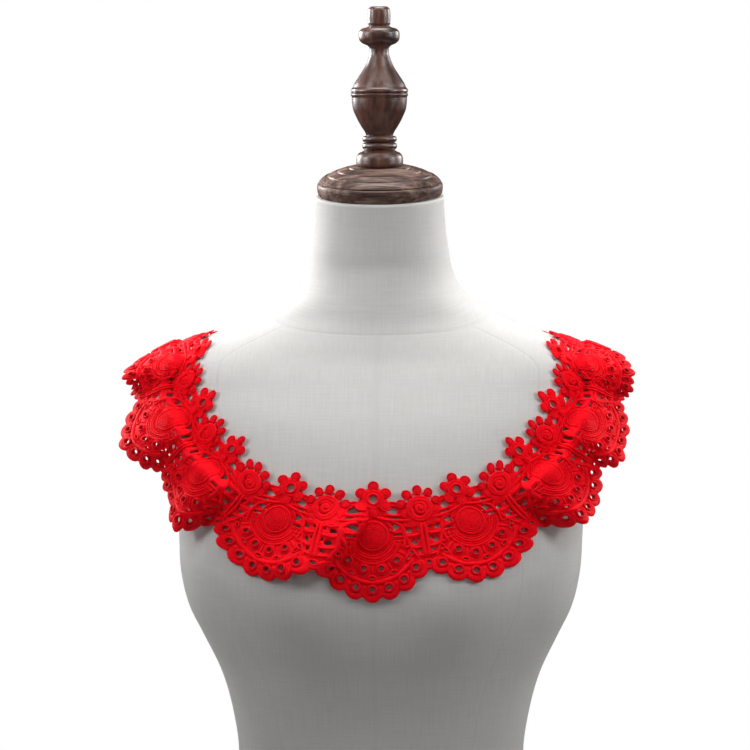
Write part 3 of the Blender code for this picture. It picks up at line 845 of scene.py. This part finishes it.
def groundHoles():
    holes = [circle(daisy, lace["daisyHole"], 16)]
    for row, count in (("inner", 12), ("outer", 14)):
        for angle in lace[row + "Angles"]:
            middle = around(rosette, lace[row + "Row"], angle)
            holes.append(circle(middle, lace[row + "Hole"], count))
    for angle in lace["slotAngles"]:
        holes.append(oval(around(rosette, lace["slotRow"], angle), *lace["slotSize"], -angle, 10))
    for side in (-1, 1):
        for x, y, length, width, turn in lace["gaps"]:
            holes.append(oval((side * x, y), length, width, side * turn, 12, square=0.65))
        for x, y, length, width, turn in lace["leafGaps"]:
            loop = oval((-side * x, y), length, width, turn, 10)
            holes.append([onSide(side, *point) for point in loop])
        for direction in lace["roseDots"]:
            if direction * side < 0:
                loop = circle(around(rose, lace["dotRow"], 180 - direction), 1.3, 8)
                holes.append([onSide(side, *point) for point in loop])
    return holes


def onSide(side, x, y):
    # a point of the rose or leaf at the cell's left or right edge, as the fan's own place
    half = side * collar["cellAngle"] / 2
    across, down = x, collar["neckRadius"] + y
    turned = across * math.cos(half) + down * math.sin(half)
    return turned, down * math.cos(half) - across * math.sin(half) - collar["neckRadius"]


def groundOutline():
    # the net's edge, kept just under the cords that finish it
    neckEdge = [onSide(1, -x, y) for x, y in arc(rose, 13.2, 180, 110, 9)]
    neckEdge += [(19.0, 14.9), (15.0, 14.4), (11.0, 14.6)]
    neckEdge += arc(daisy, 9.6, 96, 180, 10)
    neckEdge = [(-x, y) for x, y in neckEdge] + neckEdge[::-1][1:]
    edge = []
    for angle in reversed(lace["outerAngles"]):
        lobe = around(rosette, lace["lobeRow"], angle)
        edge += [around(lobe, lace["lobeRadius"] - 1.3, angle + d) for d in (52, 26, 0, -26, -52)]
    # half of the valley's eyelet belongs to each cell
    seamEnd = lace["valleyY"] - lace["valleyHole"] - 1
    seam = [onSide(1, 0, y) for y in np.arange(lace["roseY"] - 10.2, seamEnd, 3.0)]
    seam += [onSide(1, -x, y) for x, y in arc(valley, lace["valleyHole"], 180, 0, 7)]
    seam += [onSide(1, 0, lace["valleyY"] + 4.8)]
    return neckEdge, seam, edge


def insideLoop(points, loop):
    x, y = points[:, 0], points[:, 1]
    found = np.zeros(len(points), bool)
    for (x1, y1), (x2, y2) in zip(loop, loop[1:] + loop[:1]):
        if y1 != y2:
            found ^= ((y1 > y) != (y2 > y)) & (x < (x2 - x1) * (y - y1) / (y2 - y1) + x1)
    return found


def nearLoop(points, loop, distance):
    ends = np.array(loop + loop[:1])
    found = np.zeros(len(points), bool)
    for a, b in zip(ends[:-1], ends[1:]):
        t = np.clip(((points - a) @ (b - a)) / ((b - a) @ (b - a)), 0, 1)
        found |= np.linalg.norm(points - a - t[:, None] * (b - a), axis=1) < distance
    return found


def groundMesh():
    # one cell of the embroidered ground, flat and with its openings cut
    neckEdge, seam, edge = groundOutline()
    outline = neckEdge + seam + edge + [(-x, y) for x, y in reversed(seam)]
    holes = groundHoles()
    step, (half, deep) = lace["groundStep"], lace["groundReach"]
    edgeClear, holeClear = lace["groundClear"]
    xs, ys = np.meshgrid(np.arange(-half, half, step), np.arange(0, deep, step * lace["groundRow"]))
    xs = xs + step / 2 * (np.arange(len(xs)) % 2)[:, None]
    spare = np.stack([xs.ravel(), ys.ravel()], -1)
    keep = insideLoop(spare, outline) & ~nearLoop(spare, outline, edgeClear * step)
    for hole in holes:
        keep &= ~insideLoop(spare, hole) & ~nearLoop(spare, hole, holeClear * step)
    flat, edges = [], []
    for loop in [outline] + holes:
        first = len(flat)
        flat += loop
        edges += [(first + i, first + (i + 1) % len(loop)) for i in range(len(loop))]
    flat += [tuple(p) for p in spare[keep]]
    made, _, triangles, *_ = delaunay_2d_cdt([Vector(p) for p in flat], edges, [], 0, 1e-4)
    corners = np.array([tuple(p) for p in made])
    triangles = np.array(triangles)
    middle = corners[triangles].mean(axis=1)
    kept = insideLoop(middle, outline)
    for hole in holes:
        kept &= ~insideLoop(middle, hole)
    triangles = triangles[kept]
    a, b, c = (corners[triangles[:, i]] for i in range(3))
    area = 0.5 * np.abs(np.cross(b - a, c - a)).sum()
    places = [flatCorner(x, y) for x, y in corners]
    # the ground is painted darker than the cords, as painted shade under and between them
    shades = [lace["groundPaintedShade"]] * len(places)
    mesh = newMesh("groundCell", places, [], [tuple(t) for t in triangles], shade=shades)
    loops = [loop.vertex_index for loop in mesh.loops]
    storeAttribute(mesh, "stitch", corners[loops][:, ::-1], "CORNER")
    return mesh, area * mm * mm


def newTree(name, sockets):
    tree = bpy.data.node_groups.new(name, "GeometryNodeTree")
    for way in ("INPUT", "OUTPUT"):
        tree.interface.new_socket("Geometry", in_out=way, socket_type="NodeSocketGeometry")
    for socket, kind in sockets.items():
        tree.interface.new_socket(socket, in_out="INPUT", socket_type="NodeSocket" + kind)
    bench = Bench(tree)
    return bench, bench.node("NodeGroupInput")


laySockets = {
    "First place": "Float",
    "Repeats": "Int",
    "Cell angle": "Float",
    "Lift": "Float",
    "Merge within": "Float",
    "Guide": "Object",
    "Material": "Material",
}


def layRound(bench, given, motif):
    # copies the motif round the flat ring, then takes every point to its place on the guide
    count = bench.node("GeometryNodePoints", None, {"Count": given.out("Repeats")})
    index = bench.node("GeometryNodeInputIndex")
    turn = (index + given.out("First place")) * given.out("Cell angle")
    rotation = {"Axis": (0, 0, 1), "Angle": turn}
    rotation = bench.node("FunctionNodeAxisAngleToRotation", None, rotation)
    copies = {"Points": count, "Instance": motif, "Rotation": rotation}
    copies = bench.node("GeometryNodeInstanceOnPoints", None, copies)
    whole = bench.node("GeometryNodeRealizeInstances", None, {"Geometry": copies})
    merging = {"Geometry": whole, "Distance": given.out("Merge within")}
    whole = bench.node("GeometryNodeMergeByDistance", None, merging)
    surface = bench.node("GeometryNodeObjectInfo", None, {"Object": given.out("Guide")}).out("Geometry")
    position = bench.node("GeometryNodeInputPosition")
    vector = {"data_type": "FLOAT_VECTOR"}
    flat, outward = (
        bench.node("GeometryNodeInputNamedAttribute", vector, {"Name": name})
        for name in ("flatPlace", "outward")
    )
    at = bench.vectors("ADD", position, (0.5, 0.5, 0))
    sample = {"Mesh": surface, "UV Map": flat, "Sample UV": at}
    base, out = (
        bench.node("GeometryNodeSampleUVSurface", vector, {**sample, "Value": value})
        for value in (position, outward)
    )
    height = bench.parted(position).out("Z") + given.out("Lift")
    laid = bench.vectors("ADD", base, bench.scaled(out, height))
    whole = bench.node("GeometryNodeSetPosition", None, {"Geometry": whole, "Position": laid})
    whole = bench.node("GeometryNodeSetShadeSmooth", None, {"Geometry": whole})
    whole = bench.node("GeometryNodeRealizeInstances", None, {"Geometry": whole})
    finished = {"Geometry": whole, "Material": given.out("Material")}
    finished = bench.node("GeometryNodeSetMaterial", None, finished)
    bench.node("NodeGroupOutput", None, {"Geometry": finished})
    return bench.tree


def cordTree():
    bench, given = newTree("layCords", {**laySockets, "Sides": "Int", "Under": "Float"})

    def named(name):
        return bench.node("GeometryNodeInputNamedAttribute", {"data_type": "FLOAT"}, {"Name": name})

    def stored(geometry, name, value, kind="FLOAT", domain="POINT"):
        settings = {"data_type": kind, "domain": domain}
        sockets = {"Geometry": geometry, "Name": name, "Value": value}
        return bench.node("GeometryNodeStoreNamedAttribute", settings, sockets)

    curve = bench.node("GeometryNodeMeshToCurve", None, {"Mesh": given.out("Geometry")})
    curve = bench.node("GeometryNodeSetCurveNormal", {"mode": "Z_UP"}, {"Curve": curve})
    curve = stored(curve, "threadRun", bench.node("GeometryNodeSplineParameter").out("Length"))
    curve = stored(curve, "threadWhole", bench.node("GeometryNodeSplineLength").out("Length"))
    profile = {"Resolution": given.out("Sides"), "Radius": 1.0}
    profile = bench.node("GeometryNodeCurvePrimitiveCircle", None, profile)
    profile = stored(profile, "threadTurn", bench.node("GeometryNodeSplineParameter").out("Factor"))
    cords = {"Curve": curve, "Profile Curve": profile, "Scale": named("cordWidth"), "Fill Caps": True}
    cords = bench.node("GeometryNodeCurveToMesh", None, cords)

    # the round cord is pressed to its own rise, more so underneath
    parts = bench.parted(bench.node("GeometryNodeInputPosition"))
    share = parts.out("Z") / named("cordWidth")
    flattened = share * (1 - (share < 0) * (1 - given.out("Under")))
    height = flattened * named("cordRise") + named("cordLift")
    pressed = bench.node("ShaderNodeCombineXYZ", None, {"X": parts, "Y": parts.out("Y"), "Z": height})
    cords = bench.node("GeometryNodeSetPosition", None, {"Geometry": cords, "Position": pressed})

    # thread coordinates in millimetres, kept whole where a ring closes
    run, whole = named("threadRun"), named("threadWhole")
    middle = bench.node("GeometryNodeFieldOnDomain", {"domain": "FACE"}, {"Value": run})
    closing = (run < 1e-7) * (middle > whole * 0.25)
    along = (run + whole * closing) * 1000
    stitch = bench.node("ShaderNodeCombineXYZ", None, {"X": along, "Y": named("threadTurn")})
    return layRound(bench, given, stored(cords, "stitch", stitch, "FLOAT2", "CORNER"))


def groundTree():
    bench, given = newTree("layGround", laySockets)
    return layRound(bench, given, given.out("Geometry"))


def laceMaterial():
    look = {
        "red": (0.94, 0.002, 0.009),
        "deepRed": (0.63, 0.001, 0.009),
        "threadPitch": 0.5,
        # scale and detail of the noises
        "uneven": (900.0, 2.0),
        "clumps": (520.0, 3.0),
        "patches": (60.0, 2.0),
        "bump": {"Strength": 0.55, "Distance": 0.25 * mm},
        "rough": 0.56,
        "finish": {
            "Sheen Weight": 0.14, "Sheen Roughness": 0.28, "Sheen Tint": (1.0, 0.25, 0.38, 1),
            "Specular IOR Level": 0.12, "Specular Tint": (1.0, 0.3, 0.4, 1),
        },
    }
    material, bench, shader = newMaterial("guipureThread")
    along = bench.parted(bench.node("ShaderNodeUVMap", {"uv_map": "stitch"}))
    place = bench.node("ShaderNodeTexCoord").out("Object")
    noises = (look["uneven"], look["clumps"], look["patches"])
    uneven, clumps, patches = (bench.noise(place, *noise) for noise in noises)
    wave = bench.maths("SINE", along * (2 * math.pi / look["threadPitch"]) + uneven * 3.0)
    shade = 0.02 + wave * 0.12 + (patches - 0.5) * 0.6 + (clumps - 0.5) * 1.5
    # the random mottling, plus the painted shade that the pieces carry in their shade attribute
    shade = bench.clamped(shade + bench.attribute("shade"))
    colour = bench.mixed(shade, look["red"], look["deepRed"])
    rough = look["rough"] + (uneven - 0.5) * 0.25
    finishMaterial(bench, shader, look, colour, rough, wave * 0.5 + uneven + clumps * 2.5)
    return material


def layPiece(name, mesh, tree, values, wall=None):
    # runs the tree on a motif's mesh and keeps the result as a plain mesh
    source = addObject(name + "_motif", mesh)
    modifier = source.modifiers.new("lay", "NODES")
    modifier.node_group = tree
    identifiers = {i.name: i.identifier for i in tree.interface.items_tree if i.in_out == "INPUT"}
    for key, value in values.items():
        modifier[identifiers[key]] = value
    if wall:
        solid = source.modifiers.new("wall", "SOLIDIFY")
        solid.thickness, solid.offset = wall
    return addPiece(name, plainMesh(source, name))


def makeLace():
    material = laceMaterial()
    cords, ground = cordTree(), groundTree()
    onFans = {
        "daisies": drawDaisies(),
        "rosettes": drawRosettes(),
        "eyelets": drawEyelets(),
        "scallops": drawScallops(),
        "bars": drawBars(),
    }
    onRoses = {"roses": drawRoses(), "leaves": drawLeaves()}
    groundCell, cellArea = groundMesh()
    front, back = collar["frontCells"], collar["cells"] - collar["frontCells"]
    first = -(front // 2)
    stretches = {
        # node: first fan, fans, first rose, roses
        "collar_front": (first, front, first - 0.5, front + 1),
        "collar_back": (first + front, back, first + front + 0.5, back - 1),
    }
    shared = {
        "Cell angle": collar["cellAngle"],
        "Lift": collar["rest"] * mm,
        "Guide": guide,
        "Material": material,
    }
    for node, (fanFirst, fans, roseFirst, roses) in stretches.items():
        net = layPiece(
            node + "_ground", groundCell.copy(), ground,
            {**shared, "First place": float(fanFirst), "Repeats": fans, "Merge within": weld},
            wall=(lace["groundThickness"] * mm, lace["groundOffset"]),
        )
        for motifs, first, count in ((onFans, fanFirst, fans), (onRoses, roseFirst, roses)):
            for name, drawing in motifs.items():
                ways = {"First place": float(first), "Repeats": count, "Merge within": 0.0}
                ways |= {"Sides": drawing.sides, "Under": lace["under"]}
                layPiece(node + "_" + name, drawing.mesh(), cords, {**shared, **ways})
        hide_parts(node)


makeLace()
bpy.data.objects.remove(guide)
print("the lace is laid")


def linenMaterial():
    look = {
        "linen": (0.57, 0.565, 0.55),
        "slub": (0.50, 0.495, 0.48),
        "seamShade": (0.51, 0.503, 0.488),
        "threadPitch": 0.62,
        # scale across the cloth, scale up it and place in the noise
        "warp": (0.9, 0.035, 1.0),
        "weft": (0.035, 0.9, 5.0),
        "clouds": (0.012, 0.012, 9.0),
        "bump": {"Strength": 0.35, "Distance": 0.25 * mm},
        "rough": 0.86,
        "finish": {"Sheen Weight": 0.15, "Sheen Roughness": 0.5, "Specular IOR Level": 0.25},
    }
    material, bench, shader = newMaterial("linenCover")
    across = bench.parted(bench.node("ShaderNodeUVMap", {"uv_map": "weave"}))
    up = across.out("Y")

    def slubs(acrossScale, upScale, level):
        sockets = {"X": across * acrossScale, "Y": up * upScale, "Z": level}
        return bench.noise(bench.node("ShaderNodeCombineXYZ", None, sockets), 1.0, 3.0)

    warp, weft, clouds = slubs(*look["warp"]), slubs(*look["weft"]), slubs(*look["clouds"])
    pitch = 2 * math.pi / look["threadPitch"]
    fine = bench.maths("SINE", across * pitch) * bench.maths("SINE", up * pitch)
    factor = (warp + weft - 1.0) * 1.5 + (clouds - 0.5) * 0.6 + fine * 0.12 + 0.4
    colour = bench.mixed(bench.clamped(factor), look["linen"], look["slub"])
    colour = bench.mixed(bench.attribute("seam") * 0.5, colour, look["seamShade"])
    rough = look["rough"] + (warp - 0.5) * 0.15
    finishMaterial(bench, shader, look, colour, rough, fine * 0.35 + warp * 0.8 + weft * 0.8)
    return material


def seamHeight(turn):
    # the neck seam dips at the front and climbs to the back
    front, side, back = form["neckSeam"]
    deep = np.sin(turn)
    return front + side * (1 - np.clip(-deep, 0, 1) ** 1.5) + back * np.clip(deep, 0, 1)


def makeForm():
    halfWidth, depth = form["seamHalfWidth"], form["seamDepth"]
    # columns close up at each seam, as far apart as the groove is wide there
    turns = list(np.radians(np.linspace(-270, 90, form["columns"], endpoint=False)))
    across = math.degrees(halfWidth / form["seamRadius"])
    for s in form["seamTurns"]:
        turns += list(np.radians([s + k * across for k in form["seamLines"]]))
    turns = np.array(sorted(((t + 1.5 * math.pi) % (2 * math.pi)) - 1.5 * math.pi for t in turns))
    turns = turns[np.concatenate([[True], np.diff(turns) > form["closestColumns"]])]
    base, seamBase = form["roundedBase"], form["neckSeam"][0]
    top, step = form["sections"][-1][0], form["shoulderRows"][2]
    heights = np.array([
        0.0, 0.4 * base, base,
        *np.arange(2 * base, form["shoulderRows"][0], form["rowStep"]),
        *np.arange(*form["shoulderRows"]),
        *form["rowsBelowSeam"],
        *(seamBase + k * halfWidth for k in form["seamLines"]),
        *np.arange(seamBase + form["rowAboveSeam"], top, step),
        top,
    ])
    turn, level = np.meshgrid(turns, heights)
    # rows near the neck seam follow its line
    reach = form["neckSeamReach"]
    follow = np.clip(1 - np.abs(level - seamBase) / reach, 0, 1)
    follow = follow * follow * (3 - 2 * follow)
    height = level + (seamHeight(turn) - seamBase) * follow
    points = formPoint(turn, height)

    along = np.roll(points, -1, axis=1) - np.roll(points, 1, axis=1)
    out = unit(np.cross(along, np.gradient(points, axis=0)))
    low = level - seamBase
    groove = np.exp(-((low / halfWidth) ** 2))
    radius = np.linalg.norm(points[..., :2], axis=-1)
    for s in form["seamTurns"]:
        gap = np.abs(((turn - math.radians(s) + math.pi) % (2 * math.pi)) - math.pi)
        # these seams end at the neck seam
        groove = np.maximum(groove, np.exp(-((gap * radius / halfWidth) ** 2)) * (low < 0))
    # the bottom ring stays where it is
    points = points - (depth * groove * (level > 0))[..., None] * out

    # the bottom edge turns under softly
    tuck = np.clip(1 - heights / base, 0, 1)[:, None]
    points[..., :2] *= 1 - form["baseTuck"] * tuck[..., None] ** 2
    rows, columns = level.shape
    faces = gridFaces(rows, columns, closed=True)
    faces.append(tuple(range(columns - 1, -1, -1)))
    faces.append(tuple((rows - 1) * columns + np.arange(columns)))
    corners = (points * mm).reshape(-1, 3).tolist()
    mesh = newMesh("dress_form_cover", corners, [], faces, seam=groove.ravel())
    mesh.shade_smooth()
    for face in mesh.polygons[-2:]:
        face.use_smooth = False

    # cloth coordinates in millimetres: the way round from the centre front, and the way up
    ends = np.concatenate([points, points[:, :1]], axis=1)
    step = np.linalg.norm(np.diff(ends, axis=1), axis=-1)
    wayRound = np.concatenate([np.zeros((rows, 1)), np.cumsum(step, axis=1)], axis=1)
    front = int(np.argmin(np.abs(turns + math.pi / 2)))
    wayRound -= wayRound[:, front : front + 1]
    climb = np.linalg.norm(np.diff(points, axis=0), axis=-1).mean(axis=1)
    climb = np.concatenate([[0], np.cumsum(climb)])
    woven = []
    for r in range(rows - 1):
        for c in range(columns):
            for row, column in ((r, c), (r, c + 1), (r + 1, c + 1), (r + 1, c)):
                woven.append((wayRound[row, column], climb[row]))
    for ring in (points[0][::-1], points[-1]):
        woven += [(x, y) for x, y, _ in ring]
    weave = mesh.uv_layers.new(name="weave")
    weave.data.foreach_set("uv", np.array(woven, np.float32).ravel())
    mesh.materials.append(linenMaterial())
    addPiece("dress_form_cover", mesh, "dress_form")


makeForm()

# the turned cap and finial
wood = {
    "sides": 128,
    "smoothing": 5,  # points between two rows of a profile
    "neckTop": (667.6, -14.0, 10.5),  # height, shift and lean of the neck's top
    "finialLean": 4.5,
    "finialFoot": 9.9,  # how far up the foot is shaped to the cap's slant
    "seam": 0.3,
    "crispAngle": 38,
    # radius, height, and 1 where the tool left a crisp edge
    "cap": (
        (0, 23.5, 1), (19.4, 23.5, 1), (21, 23.4, 0), (24.4, 22.9, 1), (24.8, 21.9, 1), (25.8, 21.8, 1),
        (26.3, 22.4, 1), (30.6, 21.2, 0), (33.4, 20.2, 1), (33.8, 19.3, 1), (34.7, 19.1, 1),
        (35.2, 19.6, 1), (38.5, 18.1, 0), (41.2, 16.7, 1), (41.7, 15.5, 1), (42.8, 15.3, 1),
        (43.3, 16.0, 1), (46.2, 13.8, 0), (48.3, 11.4, 1), (48.0, 10.5, 1), (49.2, 9.8, 0),
        (49.8, 7.6, 0), (49.8, 5.6, 0), (49.4, 3.0, 0), (48.8, 1.2, 0), (47.6, 0, 1), (0, 0, 1),
    ),
    "finial": (
        (0, 124.4, 1), (6.4, 124.4, 1), (8.4, 122.6, 0), (8.8, 120, 0), (8.8, 110.8, 1), (7.8, 109.4, 1),
        (9.8, 108.3, 0), (13.6, 107.2, 0), (15.6, 105.2, 0), (16.1, 101.6, 0), (15.4, 98, 0),
        (13.2, 95.8, 0), (9, 93.8, 0), (7.6, 92.2, 1), (7.5, 88.5, 0), (9.2, 82.8, 0), (11.2, 78.1, 0),
        (14, 73.4, 0), (17.1, 68.7, 0), (20, 64, 0), (21.2, 61.2, 1), (22.4, 59.8, 0), (22.5, 57.8, 0),
        (21.6, 57.1, 1), (22.5, 56.2, 0), (22.4, 54.9, 0), (21.8, 54, 1), (21.5, 48.3, 0),
        (20.7, 43.6, 0), (18.7, 38.9, 0), (16.4, 34.2, 0), (13.6, 29.5, 0), (11.6, 26.4, 0),
        (10.5, 23.6, 1), (12.9, 22.7, 0), (13.6, 20.8, 0), (12.8, 18.9, 0), (11.4, 18.2, 1),
        (13, 17.4, 0), (13.8, 15.3, 0), (12.9, 13.1, 0), (11.8, 12.3, 1), (13.6, 11.1, 1), (16.3, 9.9, 0),
        (18, 7.5, 0), (18.5, 4.4, 0), (18.2, 1.2, 0), (17, 0, 1), (0, 0, 1),
    ),
}


def finerProfile(rows):
    # rounds the stretches between crisp edges
    points = [np.array(row[:2], float) for row in rows]
    crisp = [i for i, row in enumerate(rows) if row[2]]
    finer = [points[0]]
    for first, last in zip(crisp[:-1], crisp[1:]):
        run = np.array(points[first : last + 1])
        length = runLength(run)
        count = 1 if last == first + 1 else (last - first) * wood["smoothing"]
        finer += list(smoothCurve(length, run, np.linspace(0, length[-1], count + 1))[1:])
    return finer


walnut = {
    "bump": {"Strength": 0.15, "Distance": 0.2 * mm},
    "streaks": (420.0, 5.0, 0.4),  # scale, detail and distortion
    "bands": (75.0, 3.0, 1.2),
    "stops": (0.34, 0.52, 0.74),
}
woods = {
    # colours from the pores to the light grain, and how fine the grain is along x, y and z
    "varnishedWalnut": {
        "dark": (0.012, 0.005, 0.004),
        "mid": (0.050, 0.018, 0.012),
        "light": (0.15, 0.058, 0.037),
        "grain": (1.0, 1.0, 0.07),
        "rough": 0.42,
        "finish": {"Specular IOR Level": 0.25, "Coat Weight": 0.85, "Coat Roughness": 0.36},
    },
    "wornWalnut": {
        "dark": (0.014, 0.008, 0.007),
        "mid": (0.085, 0.050, 0.040),
        "light": (0.30, 0.20, 0.16),
        "grain": (0.12, 1.0, 1.6),
        "rough": 0.5,
        "finish": {"Specular IOR Level": 0.05, "Coat Weight": 0.35, "Coat Roughness": 0.36},
    },
}


def woodMaterial(name, lean):
    look = {**walnut, **woods[name]}
    material, bench, shader = newMaterial(name)
    place = bench.node("ShaderNodeTexCoord").out("Object")
    turned = {"Vector": place, "Rotation": (-math.radians(lean), 0, 0), "Scale": look["grain"]}
    grain = bench.node("ShaderNodeMapping", None, turned)
    streaks, bands = bench.noise(grain, *look["streaks"]), bench.noise(grain, *look["bands"])
    stops = list(zip(look["stops"], (look["dark"], look["mid"], look["light"])))
    colour = bench.node("ShaderNodeValToRGB", {"stops": stops}, {0: streaks * 0.45 + bands * 0.65})
    rough = look["rough"] + (streaks - 0.5) * 0.12
    finishMaterial(bench, shader, look, colour, rough, streaks)
    return material


def turnPiece(name, node, rows, lift, lean, material):
    profile = [(r * mm, 0, h * mm) for r, h in finerProfile(rows)]
    edges = [(i, i + 1) for i in range(len(profile) - 1)]
    source = addObject(name + "_profile", newMesh(name, profile, edges, []))
    screw = source.modifiers.new("turn", "SCREW")
    screw.steps = screw.render_steps = wood["sides"]
    screw.use_merge_vertices = True
    screw.merge_threshold = weld
    made = plainMesh(source, name)
    height, shift, slant = wood["neckTop"]
    neckTilt, tilt = math.radians(slant), math.radians(lean)
    base = (0, (shift - lift * math.sin(neckTilt)) * mm, (height + lift * math.cos(neckTilt)) * mm)
    # the foot follows the slant below it
    for vertex in made.vertices:
        share = max(1 - vertex.co.z / (wood["finialFoot"] * mm), 0)
        vertex.co.z += vertex.co.y * math.tan(neckTilt - tilt) * share
    made.transform(Matrix.Translation(base) @ Matrix.Rotation(tilt, 4, "X"))
    made.materials.append(material)
    made.shade_smooth()
    made.set_sharp_from_angle(angle=math.radians(wood["crispAngle"]))
    addPiece(name, made, node)


neckLean, finialLean = wood["neckTop"][2], wood["finialLean"]
wornWalnut = woodMaterial("wornWalnut", neckLean)
turnPiece("neck_cap_turned", "neck_cap", wood["cap"], wood["seam"], neckLean, wornWalnut)
capTop = wood["cap"][0][1] + 2 * wood["seam"]
varnished = woodMaterial("varnishedWalnut", finialLean)
turnPiece("finial_turned", "finial", wood["finial"], capTop, finialLean, varnished)
